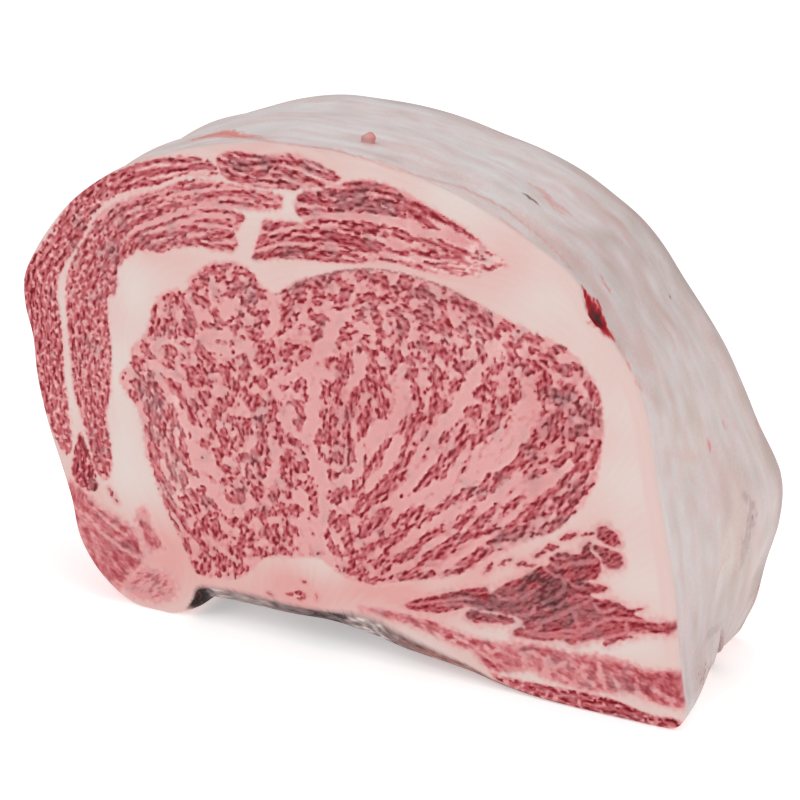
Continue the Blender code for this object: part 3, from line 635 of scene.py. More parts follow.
def ring_stations(front_rim, back_rim, spacing):
    """(y, inset) of each ring from the front face to the back face."""
    rings = [(-HALF_MM, front_rim + FLAT_MM), (-HALF_MM, front_rim + FLAT_MM / 2.0)]
    for angle in RIM_ANGLES:
        rings.append((-HALF_MM + front_rim * (1.0 - math.cos(angle)), front_rim * (1.0 - math.sin(angle))))
    low, high = -HALF_MM + front_rim, HALF_MM - back_rim
    count = int(round((high - low) / spacing))
    rings += [(float(y), 0.0) for y in np.linspace(low, high, count + 1)[1:-1]]
    for angle in RIM_ANGLES[::-1]:
        rings.append((HALF_MM - back_rim * (1.0 - math.cos(angle)), back_rim * (1.0 - math.sin(angle))))
    rings += [(HALF_MM, back_rim + FLAT_MM / 2.0), (HALF_MM, back_rim + FLAT_MM)]
    return rings


def grid_normals(points):
    """Outward normals of a grid of rings, shaped (rings, around, 3)."""
    around = np.roll(points, -1, axis=1) - np.roll(points, 1, axis=1)
    through = np.gradient(points, axis=0)
    normal = np.cross(through, around)
    return normal / np.maximum(np.linalg.norm(normal, axis=2), 1e-9)[:, :, None]


def cut_cleft(points):
    """Lifts the flap, cuts the cleft and returns how far each point is painted dark, from 0 to 1: the meat
    of the cleft's walls and painted shade in the recess.
    """
    x, y, z = points[..., 0], points[..., 1], points[..., 2]
    reach = smooth(*CLEFT_REACH_X_MM, x)
    waist = np.exp(-((y - WAIST_Y_MM) / WAIST_HALF_MM) ** 2)
    new_x = x - WAIST_MM * waist * reach * smooth(0.0, 1.0, 1.0 - z / WAIST_TOP_Z_MM)
    lift = LIFT_MM * smooth(*LIFT_Y_MM, y) * np.clip(LIFT_BACK_SHARE - y / HALF_MM, 0.0, 1.0)
    lift = lift * smooth(*LIFT_REACH_X_MM, x)
    z = z + lift * np.clip(1.0 - z / LIFT_TOP_Z_MM, 0.0, 1.0) ** 2
    height = np.clip(1.0 - z / CLEFT_TOP_Z_MM, 0.0, 1.0)
    near_y, far_y = (np.interp(z, CLEFT_Z_MM, edge) for edge in (CLEFT_NEAR_Y_MM, CLEFT_FAR_Y_MM))
    near_wall = smooth(0.0, CLEFT_EDGE_MM, y - near_y)
    far_wall = np.clip((far_y - y) / (far_y - near_y), 0.0, 1.0) ** 0.5
    depth = np.sqrt(height) * near_wall * far_wall * reach
    points[..., 2] = z
    points[..., 0] = new_x - CLEFT_DEPTH_MM * depth
    # Painted shade and the darker meat of the cleft.
    dark = smooth(*CLEFT_DARK_NEAR_MM, y - near_y) * smooth(*CLEFT_DARK_FAR_MM, y - far_y)
    return dark * reach * smooth(0.0, CLEFT_DARK_TOP, height)


def dimple_fat(points, front_rim, back_rim):
    x, y, z = points[..., 0], points[..., 1], points[..., 2]
    limit = HALF_MM - (front_rim + back_rim) / 2.0
    fade = np.clip(1.0 - (np.abs(y) / limit) ** 4, 0.0, 1.0) * (z >= DIMPLE_LOW_Z_MM)
    points += grid_normals(points) * (DIMPLE_MM * waves(DIMPLE_WAVES, x, y, z) * fade)[..., None]


def pocket_depth(points):
    """How deep a point lies in the torn pocket, from 0 to 1."""
    offset = points - np.array(POCKET_AT_MM)
    u = offset[..., 0] * math.cos(POCKET_SLOPE) + offset[..., 2] * math.sin(POCKET_SLOPE)
    u, v = u / POCKET_ALONG_MM, offset[..., 1] / POCKET_ACROSS_MM
    near = np.linalg.norm(offset, axis=-1) < 2.0 * POCKET_ALONG_MM
    return smooth(0.0, 1.0, 1.0 - np.hypot(u, v)) * near


def push_pocket(points):
    inward = np.array((math.sin(POCKET_SLOPE), 0.0, -math.cos(POCKET_SLOPE)))
    points += inward * (POCKET_DEPTH_MM * pocket_depth(points))[..., None]


def raise_nub(points):
    offset = points - np.array(NUB_AT_MM)
    distance = np.hypot(offset[..., 0] / NUB_SIZE_MM[0], offset[..., 1] / NUB_SIZE_MM[1])
    top = points[..., 2] > NUB_AT_MM[2] / 2.0
    rise = np.where(top, np.clip(1.0 - distance ** 2, 0.0, 1.0), 0.0)
    points[..., 2] += NUB_SIZE_MM[2] * rise
    return rise


# ---------------------------------------------------------------- marbling fields


def inside_ring(xs, zs, ring):
    """Which points of the grid with columns xs and rows zs lie inside a closed ring."""
    odd = np.zeros((len(zs), len(xs)), bool)
    for k in range(len(ring)):
        a, b = ring[k], ring[(k + 1) % len(ring)]
        if a[1] != b[1]:
            rows = np.where((zs > min(a[1], b[1])) & (zs <= max(a[1], b[1])))[0]
            cross = a[0] + (zs[rows] - a[1]) * (b[0] - a[0]) / (b[1] - a[1])
            odd[rows] ^= xs[None, :] < cross[:, None]
    return odd


def segments_near(x, z, low, cell, line, closed, reach):
    """For each segment of a line, the window of the grid within reach of it.

    Yields the segment's number, its start, its step, the window, and for each point of the window
    the share of the segment at which it is nearest and the distance.
    """
    rows, columns = x.shape
    for k in range(len(line) if closed else len(line) - 1):
        a, b = line[k][:2], line[(k + 1) % len(line)][:2]
        i0 = max(int((min(a[0], b[0]) - reach - low[0]) / cell), 0)
        i1 = min(int((max(a[0], b[0]) + reach - low[0]) / cell) + 2, columns)
        j0 = max(int((min(a[1], b[1]) - reach - low[1]) / cell), 0)
        j1 = min(int((max(a[1], b[1]) + reach - low[1]) / cell) + 2, rows)
        if i1 > i0 and j1 > j0:
            window = (slice(j0, j1), slice(i0, i1))
            px, pz, step = x[window] - a[0], z[window] - a[1], b - a
            along = np.clip((px * step[0] + pz * step[1]) / max(float(step @ step), 1e-12), 0.0, 1.0)
            yield k, a, step, window, along, np.hypot(px - along * step[0], pz - along * step[1])


class Sheet:
    """A raster over the cut face, on which the marbling is drawn before the mesh takes it."""

    def __init__(self, cell_mm):
        self.cell = cell_mm
        self.low = SHEET_LOW_MM
        self.count = [int(size / cell_mm) + 1 for size in SHEET_SIZE_MM]
        self.xs, self.zs = (low + np.arange(n) * cell_mm for low, n in zip(self.low, self.count))
        self.x, self.z = np.meshgrid(self.xs, self.zs)
        self.i, self.j = np.meshgrid(*(np.arange(n, dtype=float) for n in self.count))
        self.dx, self.dz = self.flow()

    def flow(self):
        """Direction of the fibres at each cell, between the rows of FLOW."""
        cosine, sine = np.zeros(self.x.shape), np.zeros(self.x.shape)
        for x, z, angle in FLOW:
            weight = 1.0 / ((self.x - x) ** 2 + (self.z - z) ** 2 + FLOW_SOFT_MM ** 2) ** 2
            cosine += weight * math.cos(2.0 * math.radians(angle))
            sine += weight * math.sin(2.0 * math.radians(angle))
        turn = 0.5 * np.arctan2(sine, cosine)
        return np.cos(turn), np.sin(turn)

    def distance(self, points, closed, reach, widths=None):
        """Distance to a line of points, exact within reach, less its half width."""
        found = np.full(self.x.shape, FAR_MM)
        grid = (self.x, self.z, self.low, self.cell)
        for k, _, _, window, along, gap in segments_near(*grid, points, closed, reach):
            if widths is not None:
                gap = gap - mix(widths[k], widths[(k + 1) % len(points)], along)
            found[window] = np.minimum(found[window], gap)
        return found

    def region(self, points):
        """Signed distance to a muscle's outline, positive inside."""
        curve = spline(points, DRAWN_STEPS)
        gap = np.minimum(self.distance(curve, True, REGION_REACH_MM), REGION_REACH_MM)
        return np.where(inside_ring(self.xs, self.zs, curve), gap, -gap)

    def seams(self, lines):
        """Distance to the nearest of some seams, less its half width."""
        found = np.full(self.x.shape, FAR_MM)
        for line in lines:
            curve = spline(line, DRAWN_STEPS, False)
            found = np.minimum(found, self.distance(curve, False, SEAM_REACH_MM, curve[:, 2]))
        return found

    def blur(self, field, size_mm):
        size = size_mm / self.cell
        fz = np.fft.fftfreq(field.shape[0])[:, None]
        fx = np.fft.rfftfreq(field.shape[1])[None, :]
        spectrum = np.fft.rfft2(field) * np.exp(-2.0 * (math.pi * size) ** 2 * (fz ** 2 + fx ** 2))
        return np.fft.irfft2(spectrum, s=field.shape)

    def at(self, field, i, j):
        """The field between its cells, at columns i and rows j."""
        i = np.clip(i, 0.0, self.count[0] - 1.001)
        j = np.clip(j, 0.0, self.count[1] - 1.001)
        left, low = i.astype(int), j.astype(int)
        u, v = i - left, j - low
        bottom = mix(field[low, left], field[low, left + 1], u)
        return mix(bottom, mix(field[low + 1, left], field[low + 1, left + 1], u), v)

    def read(self, field, x_mm, z_mm):
        return self.at(field, (x_mm - self.low[0]) / self.cell, (z_mm - self.low[1]) / self.cell)

    def stretch(self, field, length_mm):
        """Draws a field out along the fibres."""
        step = 0.6
        while step < length_mm / self.cell / 2.0:
            ahead = self.at(field, self.i + self.dx * step, self.j + self.dz * step)
            behind = self.at(field, self.i - self.dx * step, self.j - self.dz * step)
            field = (ahead + behind + field) / 3.0
            step *= 2.0
        return field

    def noise(self, seed, width_mm, length_mm=0.0):
        """Soft noise whose blotches are about width_mm wide, one standard deviation high."""
        field = np.random.default_rng(seed).standard_normal(self.x.shape)
        field = self.stretch(self.blur(field, width_mm / 2.5), length_mm)
        return (field - field.mean()) / field.std()

    def band(self, seed, period_mm, length_mm=0.0, ratio=1.6):
        """Noise of one period, whose halves make evenly spaced worm-like islands."""
        field = np.random.default_rng(seed).standard_normal(self.x.shape)
        size = BLUR_PER_PERIOD * period_mm
        field = self.stretch(self.blur(field, size) - self.blur(field, size * ratio), length_mm)
        return (field - field.mean()) / field.std()


class Marbling:
    """The cut face's fields, muscle by muscle.

    tone runs from the darkest lean at 0 to the palest fat inside a muscle at 1, pink is 1 inside
    the muscles and fades in the fat between them, grey marks dried lean, warm tints that fat.
    """

    def __init__(self, sheet, seed, group):
        self.sheet, self.seed = sheet, seed
        self.wobble = 0.6 * sheet.band(seed + 15, 3.2) + 0.4 * sheet.noise(seed + 33, 0.9)
        self.lumps = sheet.band(seed + 18, 3.0, 2.4)
        self.blotch = sheet.noise(seed + 17, 2.6)
        self.drift = sheet.noise(seed + 34, 14.0)
        self.mottle = sheet.band(seed + 45, 3.4, 1.5)
        self.specks = sheet.band(seed + 23, 1.35, 0.8)
        self.fine = sheet.band(seed + 24, 1.4, 2.4)
        self.fine_septa = np.abs(sheet.band(seed + 32, 3.6, 3.0, 2.2))
        # Lean is drawn out along the fibres in the lower right and the lower left of the eye.
        x, z = sheet.x, sheet.z
        right = smooth(-6.0, 8.0, x + 0.25 * (z - 60.0)) * smooth(98.0, 76.0, z + 0.12 * np.abs(x - 30.0))
        left = 0.6 * smooth(-50.0, -58.0, x) * smooth(75.0, 65.0, z)
        self.fibrous = np.maximum(right, left)
        strands = mix(sheet.band(seed + 12, 2.5, 0.8), sheet.band(seed + 22, 2.2, 2.0), self.fibrous)
        self.strands = (strands + 0.6 * self.specks) / 1.17
        self.tone = np.full(x.shape, 0.94) + 0.02 * self.blotch
        self.pink = np.zeros(x.shape)
        grey = self.patches(GREY_PATCHES, self.blotch)
        self.grey = np.where(grey > 0.0, 0.7 * grey, grey)
        self.lay_eye(group.island_period_mm, group.lean_share)
        self.lay_streaky_muscles()
        self.lay_low_right_muscles()
        self.lay_rosy_muscles()
        self.draw_threads()
        self.shade_and_warm()
        self.draw_eye_line()
        self.tone = np.clip(self.tone + 0.7 * (self.tone - sheet.blur(self.tone, 0.6)), -0.3, 1.04)
        self.soft = sheet.blur(self.tone, 0.35)

    def lay_eye(self, period, lean_share):
        """Eye muscle: clustered islands of lean, parted by its seams of fat."""
        sheet, seed, fibrous = self.sheet, self.seed, self.fibrous
        coarse = mix(
            sheet.band(seed + 14, 1.9 * period), sheet.band(seed + 16, 1.5 * period, 1.5 * period), fibrous,
        )
        middle = mix(sheet.band(seed + 11, period), sheet.band(seed + 21, 0.85 * period, 2.6), fibrous)
        clusters = 0.95 * coarse + 0.50 * middle
        clusters = clusters / np.sqrt(0.45 + 0.55 * sheet.blur(clusters ** 2, 9.0))
        near = sheet.region(EYE_MM)
        seam = smooth(-0.6, 0.9, sheet.seams(EYE_SEAMS) + 0.45 * self.wobble + 0.3 * self.blotch)
        bundle = clusters + lean_share + 0.6 * np.maximum(self.grey, 0.0)
        bundle = bundle - 2.2 * (1.0 - self.edge(near, 1.2)) - 2.2 * (1.0 - seam)
        self.lay(near, self.islands(bundle, self.strands, 0.45) + 0.03 * self.drift, EYE_TONES, 0.9)

    def lay_streaky_muscles(self):
        """Muscles over the eye, down the lean side and along the base, in strips along their fibres."""
        sheet, seed = self.sheet, self.seed
        long_strips = 0.85 * sheet.band(seed + 41, 3.4, 7.0) + 0.6 * sheet.band(seed + 42, 2.3, 1.8)
        short_strips = 0.8 * sheet.band(seed + 43, 3.6, 1.4) + 0.55 * sheet.band(seed + 44, 2.1)
        over_eye = smooth(-86.0, -66.0, sheet.x) * smooth(112.0, 122.0, sheet.z)
        strips = mix(short_strips, long_strips, over_eye) + 0.2 * self.blotch
        septa = np.abs(sheet.band(seed + 31, 7.0, 8.0, 2.2))
        net = 0.8 * smooth(0.26, 0.04, septa)
        fine_net = 0.5 * smooth(0.2, 0.0, self.fine_septa)
        seam = smooth(-0.2, 0.5, sheet.seams(STRIP_SEAMS) + 0.25 * self.wobble)
        drawn = smooth(0.8, -0.4, sheet.seams(BUNDLES) + 0.35 * self.wobble)
        for points, share, tones in STREAKY:
            near = sheet.region(points)
            body = strips + share - 2.4 * (1.0 - self.edge(near, 0.7)) - 2.6 * (1.0 - seam)
            if points in (CAP_RIGHT_MM, BASE_STRIP_MM):
                body = body - 0.9 + 1.9 * drawn
            body = body - net - fine_net + 0.2 * self.drift
            self.lay(near, self.islands(body, 0.5 * self.strands + 0.6 * self.fine, 0.30), tones, 0.9)

    def lay_low_right_muscles(self):
        """The muscle group at the lower right and the small muscles near it, dark and dense."""
        sheet = self.sheet
        seam = smooth(-0.15, 0.55, sheet.seams(PLATE_SEAMS) + 0.2 * self.wobble)
        for points in (TIP_MM, LOW_RIGHT_MM, PLUG_MM, KNOB_HIGH_MM, KNOB_LOW_MM):
            near = sheet.region(points)
            lean = 0.30 * self.mottle + 0.22 * self.fine + 0.26 * self.specks + 0.25 * self.drift
            lean = lean - 3.0 * (1.0 - self.edge(near, 0.6))
            lean = lean - 2.4 * (1.0 - seam) - 0.7 * smooth(0.22, 0.05, self.fine_septa)
            self.lay(near, lean, LOW_RIGHT_TONES, 0.7)
            self.blush(near, 2.8)

    def lay_rosy_muscles(self):
        """Soft rosy muscles along the rib side and in the bottom lobe."""
        sheet = self.sheet
        blots = sheet.band(self.seed + 46, 6.0)
        seam = smooth(-0.15, 0.7, sheet.seams(RIB_SEAMS) + 0.25 * self.wobble)
        for points, tones, net, width in ROSY:
            near = sheet.region(points)
            lean = 0.45 * self.mottle + 0.35 * self.specks + 0.15 * self.fine + 0.5 * self.drift
            lean = lean - 2.0 * (1.0 - self.edge(near, 1.6))
            lean = lean - net * smooth(0.24, 0.0, self.fine_septa) + 0.45 * blots - 2.2 * (1.0 - seam)
            self.lay(near, lean, tones, width)
            self.blush(near, 1.8)

    def draw_threads(self):
        """Thin threads of lean in the fat between the muscles."""
        threads = self.sheet.seams(THREADS) + 0.3 * self.wobble
        self.tone = mix(self.tone, 0.38 + 0.12 * self.specks, smooth(0.45, -0.3, threads))
        self.pink = np.maximum(self.pink, smooth(1.2, -0.2, threads))
        self.blush(-threads, 2.4)

    def shade_and_warm(self):
        """Darker and dried lean in patches, and the warmth of the fat between the muscles."""
        sheet, seed = self.sheet, self.seed
        self.tone = self.tone - self.patches(DARK_PATCHES, self.blotch) * smooth(0.95, 0.8, self.tone)
        self.grey = self.grey * mix(0.35, 1.0, smooth(0.85, 0.45, self.tone))
        self.grey = self.grey + 0.14 * sheet.noise(seed + 49, 3.0)
        veins = sheet.band(seed + 47, 2.6, 10.0) + 0.5 * sheet.noise(seed + 48, 5.0, 9.0)
        warm = 0.35 + 0.10 * self.drift + self.patches(WARM_PATCHES, 0.5 * self.drift)
        self.warm = np.clip(warm + 0.02 * veins * (0.6 + 1.5 * np.clip(warm, 0.0, 1.0)), 0.0, 1.0)

    def draw_eye_line(self):
        """The thin dotted line of dark membrane along the top of the eye."""
        line = self.sheet.seams((EYE_LINE,)) + 0.15 * self.wobble
        dots = smooth(-0.6, 0.4, self.specks + 0.3) * smooth(0.34, 0.02, line)
        self.tone = mix(self.tone, 0.46, 0.65 * dots)
        self.pink = np.maximum(self.pink, 0.8 * dots)
        self.grey = np.maximum(self.grey, 0.8 * dots)

    def islands(self, bundle, strands, rim):
        """Lean in islands where bundle is positive, parted into strands and darker along their edges."""
        island = smooth(-0.22, 0.28, bundle + 0.38 * strands)
        edge = np.exp(-((bundle - 0.20) / 0.28) ** 2)
        depth = 0.62 + 0.26 * strands + 0.22 * self.lumps + rim * edge
        lean = island * (depth + 0.15 * np.clip(bundle, 0.0, 1.5))
        return lean + 0.14 * np.clip(bundle, -1.5, 0.0)

    def blush(self, near, width):
        """Fat tinted pink round the lean, fading over a width outside it: partly the juice's tint, partly
        painted light, the red that the lean scatters into the fat.
        """
        halo = smooth(-width, 0.0, near + 0.5 * self.wobble)
        self.tone = np.minimum(self.tone, 0.97 - 0.13 * halo)
        self.pink = np.maximum(self.pink, 0.75 * halo)

    def edge(self, near, width):
        """How far a point lies inside a muscle, 0 at its outline and 1 from a width inside it."""
        return smooth(-0.3, width, near + 0.35 * self.wobble)

    def lay(self, near, lean, tones, width):
        """Lays one muscle inside its outline, each share of its area in its own tone."""
        levels = np.quantile(lean[near > 0.0], 1.0 - np.array(SHARES[::-1]))
        tone = np.interp(lean, levels, tones[::-1])
        self.tone = mix(self.tone, tone, smooth(-0.4, 0.2, near))
        self.pink = np.maximum(self.pink, smooth(-width, 0.4, near + 0.4 * self.wobble))

    def patches(self, rows, blotch):
        """Sum of soft oval patches: x, z, half sizes and strength of each."""
        found = np.zeros(self.sheet.x.shape)
        for x, z, half_x, half_z, strength in rows:
            away = ((self.sheet.x - x) / half_x) ** 2 + ((self.sheet.z - z) / half_z) ** 2
            found = found + strength * np.exp(-0.7 * away) * (0.8 + 0.35 * blotch)
        return np.clip(found, -1.0, 1.0)

    def read(self, x_mm, z_mm):
        """Tone, pink, grey and warm at points, one row of four for each."""
        fields = (self.tone, self.pink, self.grey, self.warm)
        return np.stack([self.sheet.read(field, x_mm, z_mm) for field in fields], -1)


# ---------------------------------------------------------------- meshes


def nearest_on_ring(x, z, ring, reach):
    """Signed distance to a closed ring, positive inside, and the nearest point on it, for a grid."""
    gap = np.full(x.shape, reach)
    near_x, near_z = x.copy(), z.copy()
    grid = (x, z, (x[0, 0], z[0, 0]), x[0, 1] - x[0, 0])
    for _, a, step, window, along, distance in segments_near(*grid, ring, True, reach):
        better = distance < gap[window]
        gap[window] = np.where(better, distance, gap[window])
        near_x[window] = np.where(better, a[0] + along * step[0], near_x[window])
        near_z[window] = np.where(better, a[1] + along * step[1], near_z[window])
    return np.where(inside_ring(x[0], z[:, 0], ring), gap, -gap), near_x, near_z


def lattice_faces(ring, inlay, cell):
    """Square cells inside a ring, parted by an inlay's outline if there is one.

    Points close to either line move onto it, so that every cell lies on one side or is halved.
    Returns the points as (x, z), the faces inside the inlay and the faces outside it.
    """
    low, high = ring.min(0) - 2.0 * cell, ring.max(0) + 2.0 * cell
    x, z = np.meshgrid(np.arange(low[0], high[0], cell), np.arange(low[1], high[1], cell))
    new_x, new_z = x, z
    index = np.arange(x.size).reshape(x.shape)
    quads = np.stack([index[:-1, :-1], index[:-1, 1:], index[1:, 1:], index[1:, :-1]], -1).reshape(-1, 4)
    sides = []
    for line in (ring,) if inlay is None else (ring, inlay):
        gap, near_x, near_z = nearest_on_ring(x, z, line, 3.0 * cell)
        sign = np.where(np.abs(gap) <= cell / 2.0, 0, np.sign(gap)).astype(int)
        new_x, new_z = np.where(sign == 0, near_x, new_x), np.where(sign == 0, near_z, new_z)
        corners = sign.ravel()[quads]
        halved = (corners.max(1) > 0) & (corners.min(1) < 0)
        on_line = np.abs(corners).sum(1) == 0
        side = np.where(on_line, np.sign(gap.ravel()[quads].mean(1)), np.sign(corners.sum(1)))
        sides.append((side, halved, corners))
    if inlay is None:
        sides.append((np.full(len(quads), -1.0), np.zeros(len(quads), bool), np.full(quads.shape, -1)))
    (outer_side, outer_halved, outer_corners), (inner_side, inner_halved, inner_corners) = sides
    whole = (outer_side > 0) & ~outer_halved & ~inner_halved
    inside = quads[whole & (inner_side > 0)].tolist()
    outside = quads[whole & (inner_side <= 0)].tolist()

    def halves(k, corners):
        """Sign and triangle of each corner of a quad that lies clear of the line through it."""
        for corner in np.flatnonzero(corners[k]):
            yield corners[k, corner], [int(quads[k, (corner + turn) % 4]) for turn in (3, 0, 1)]

    for k in np.flatnonzero(outer_halved):
        outside += [face for sign, face in halves(k, outer_corners) if sign > 0]
    for k in np.flatnonzero(inner_halved & ~outer_halved & (outer_side > 0)):
        for sign, face in halves(k, inner_corners):
            (inside if sign > 0 else outside).append(face)
    return np.stack([new_x.ravel(), new_z.ravel()], 1), inside, outside


def boundary_loops(faces):
    """Closed loops of the edges that only one face uses, each in its faces' own direction."""
    edges = {}
    for face in faces:
        for a, b in zip(face, face[1:] + face[:1]):
            if (b, a) in edges:
                del edges[(b, a)]
            else:
                edges[(a, b)] = True
    following = {}
    for a, b in edges:
        if a in following:
            raise RuntimeError("two pieces of the cut face meet in one point")
        following[a] = b
    loops = []
    while following:
        start, current = next(iter(following.items()))
        loop = [start]
        del following[start]
        while current != start:
            loop.append(current)
            current = following.pop(current)
        loops.append(loop)
    return loops


def fill(rings, anticlockwise):
    """Triangles over closed rings of points that share one y, by the points' numbers in turn."""
    points = np.vstack(rings)
    faces = []
    for face in tessellate_polygon([[Vector((p[0], p[2], 0.0)) for p in ring] for ring in rings]):
        p, q, r = (points[v] for v in face)
        area = (q[0] - p[0]) * (r[2] - p[2]) - (q[2] - p[2]) * (r[0] - p[0])
        faces.append(face if (area > 0.0) == anticlockwise else face[::-1])
    return faces


def slab(points, faces, y_of, toward_front):
    """Vertices and faces of a thin closed slab: the detailed face, a wall round it and a plain back.

    points are (x, z), faces wind anticlockwise seen from the front, and y_of gives each point's y.
    """
    used = np.unique(np.concatenate([np.ravel(face) for face in faces]))
    number = np.full(len(points), -1)
    number[used] = np.arange(len(used))
    kept = points[used]
    vertices = np.column_stack([kept[:, 0], y_of(kept), kept[:, 1]])
    lookup = number.tolist()
    faces = [[lookup[v] for v in face] for face in faces]
    back_y = (SLAB_MM - HALF_MM) if toward_front else (HALF_MM - SLAB_MM)
    rings, links, start = [], [], len(vertices)
    for loop in boundary_loops(faces):
        ring = vertices[loop].copy()
        ring[:, 1] = back_y
        rings.append(ring)
        for k in range(len(loop)):
            beside = (k + 1) % len(loop)
            links.append([loop[beside], loop[k], start + k, start + beside])
        start += len(loop)
    links += [[len(vertices) + v for v in face] for face in fill(rings, False)]
    faces = faces + links
    if not toward_front:
        faces = [face[::-1] for face in faces]
    return np.vstack([vertices] + rings), faces


def ring_quads(rings, around):
    """Faces between rings of points that are numbered ring by ring."""
    index = np.arange(rings * around).reshape(rings, around)
    beside = np.roll(index, -1, axis=1)
    return np.stack([index[:-1], index[1:], beside[1:], beside[:-1]], -1).reshape(-1, 4).tolist()


def make_object(name, vertices_mm, faces, attributes, material):
    mesh = bpy.data.meshes.new(name)
    mesh.from_pydata((vertices_mm * MM).tolist(), [], faces)
    mesh.polygons.foreach_set("use_smooth", np.ones(len(mesh.polygons), bool))
    mesh.set_sharp_from_angle(angle=SHARP_ANGLE)
    for key, values in attributes.items():
        layer = mesh.attributes.new(key, "FLOAT_COLOR", "POINT")
        layer.data.foreach_set("color", np.ascontiguousarray(values, np.float32).ravel())
    mesh.materials.append(material)
    mesh.update()
    obj = bpy.data.objects.new(name, mesh)
    bpy.context.scene.collection.objects.link(obj)
    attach(obj, "root")
    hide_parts(NODE)
    return obj


# ---------------------------------------------------------------- what the operators share


class Work:
    """Values that one operator works out and the next ones use again."""

    kept = {}

    @classmethod
    def get(cls, key, make):
        if key not in cls.kept:
            cls.kept[key] = make()
        return cls.kept[key]


def settings():
    return bpy.context.scene.steak_shape


def skin_grid():
    """Outside of the meat in the frame's mm as (rings, around, 3), how dark the cleft is and how
    high the nub's rise at each point, and how far the outlines were moved to reach the frame."""
    shape = settings()
    rings = ring_stations(shape.front_rim_mm, shape.back_rim_mm, shape.ring_spacing_mm)
    points = np.zeros((len(rings), AROUND, 3))
    for row, (y_mm, inset) in enumerate(rings):
        section = section_at(y_mm)
        section = section - outward(section) * (inset * rim_share(section))[:, None]
        points[row, :, 0], points[row, :, 1] = section[:, 0], y_mm
        points[row, :, 2] = np.maximum(section[:, 1], 0.0)
    cleft = cut_cleft(points)
    dimple_fat(points, shape.front_rim_mm, shape.back_rim_mm)
    push_pocket(points)
    nub = raise_nub(points)
    points[..., 2] = np.maximum(points[..., 2], 0.0)
    low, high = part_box(NODE)
    shift = (points[..., 0].min() + points[..., 0].max()) / 2.0 - (low.x + high.x) / 2.0 / MM
    points[..., 0] -= shift
    return points, cleft, nub, shift


def skin():
    return Work.get("skin", skin_grid)


def find_way():
    """Length along the skin from the middle ring to each point, negative towards the front, in mm."""
    points = skin()[0]
    steps = np.linalg.norm(np.diff(points, axis=0), axis=2)
    way = np.vstack([np.zeros((1, AROUND)), np.cumsum(steps, axis=0)])
    return way - way[int(np.argmin(np.abs(points[:, 0, 1])))]


def way_through():
    return Work.get("way", find_way)


def face_sheet():
    return Work.get("sheet", lambda: Sheet(settings().drawing_cell_mm))


def front_marbling():
    return Work.get("front", lambda: Marbling(face_sheet(), 0, bpy.context.scene.steak_marbling))


def back_marbling():
    return Work.get("back", lambda: Marbling(face_sheet(), BACK_SEED, bpy.context.scene.steak_marbling))


def matched_to_front(x, z):
    """Where a point of the back face lies on the front face, by the outlines' matching points."""
    shift = skin()[3]
    total = np.zeros(x.shape)
    to_x, to_z = np.zeros(x.shape), np.zeros(x.shape)
    for (back_x, back_z), (front_x, front_z) in zip(BACK_MM, FRONT_MM):
        weight = 1.0 / ((x + shift - back_x) ** 2 + (z - back_z) ** 2 + 16.0) ** 1.5
        total += weight
        to_x += weight * (front_x - back_x)
        to_z += weight * (front_z - back_z)
    return x + to_x / total, z + to_z / total


def line_distance(points, line):
    """Distance from points to a line through (x, y, z, half width), less the half width there."""
    curve = spline(line, STROKE_STEPS, False)
    found = np.full(points.shape[:-1], FAR_MM)
    for a, b in zip(curve, curve[1:]):
        step = b[:3] - a[:3]
        along = np.clip(((points - a[:3]) @ step) / max(float(step @ step), 1e-9), 0.0, 1.0)
        gap = np.linalg.norm(points - a[:3] - along[..., None] * step, axis=-1)
        found = np.minimum(found, gap - mix(a[3], b[3], along))
    return found


def strokes(points, channel, ragged):
    """Strength of one channel's smears and streaks at points, with ragged edges."""
    found = np.zeros(points.shape[:-1])
    for (strength, soft), *line in STROKES[channel]:
        gap = line_distance(points, line) + 0.5 * soft * ragged
        found = np.maximum(found, strength * smooth(soft, -0.3 * soft, gap))
    return found


def cover_at(points, cap, film, ragged):
    """Shares of waxy cap, silverskin, stain and blood, the last 1 in the middle of the blood."""
    blood = np.zeros(points.shape[:-1])
    for (strength,), *line in BLOOD_MM:
        gap = line_distance(points, line) + 0.22 * ragged
        blood = np.maximum(blood, strength * np.clip(0.5 - 0.5 * gap / BLOOD_EDGE_MM, 0.0, 1.0))
    stain = strokes(points, "stain", ragged)
    return np.stack([cap, film, stain, blood], -1)


# ---------------------------------------------------------------- materials


def add_node(tree, kind, inputs=None, output=0, stops=(), **options):
    """Adds a node, sets its options, fills or links its sockets, and returns one of its outputs."""
    node = tree.nodes.new("ShaderNode" + kind)
    for name, value in options.items():
        setattr(node, name, value)
    for key, value in (inputs or {}).items():
        if isinstance(value, bpy.types.NodeSocket):
            tree.links.new(value, node.inputs[key])
        else:
            node.inputs[key].default_value = value
    while 0 < len(stops) > len(node.color_ramp.elements):
        node.color_ramp.elements.new(0.5)
    for element, (place, colour) in zip(node.color_ramp.elements if stops else (), stops):
        element.position, element.color = place, linear(colour)
    return node.outputs[output]


def start_material(name, sockets):
    material = bpy.data.materials.new(name)
    material.use_nodes = True
    shader = material.node_tree.nodes["Principled BSDF"]
    for key, value in sockets.items():
        shader.inputs[key].default_value = value
    return material, material.node_tree, shader


def link_shader(tree, shader, colour, rough, bump):
    for key, socket in (("Base Color", colour), ("Roughness", rough), ("Normal", bump)):
        tree.links.new(socket, shader.inputs[key])


def attribute_parts(tree, name):
    """The four channels of a colour attribute, the last one without the separating node."""
    parts = [
        add_node(
            tree, "SeparateColor", {0: add_node(tree, "Attribute", output="Color", attribute_name=name)},
            channel,
        )
        for channel in range(3)
    ]
    return parts + [add_node(tree, "Attribute", output="Alpha", attribute_name=name)]


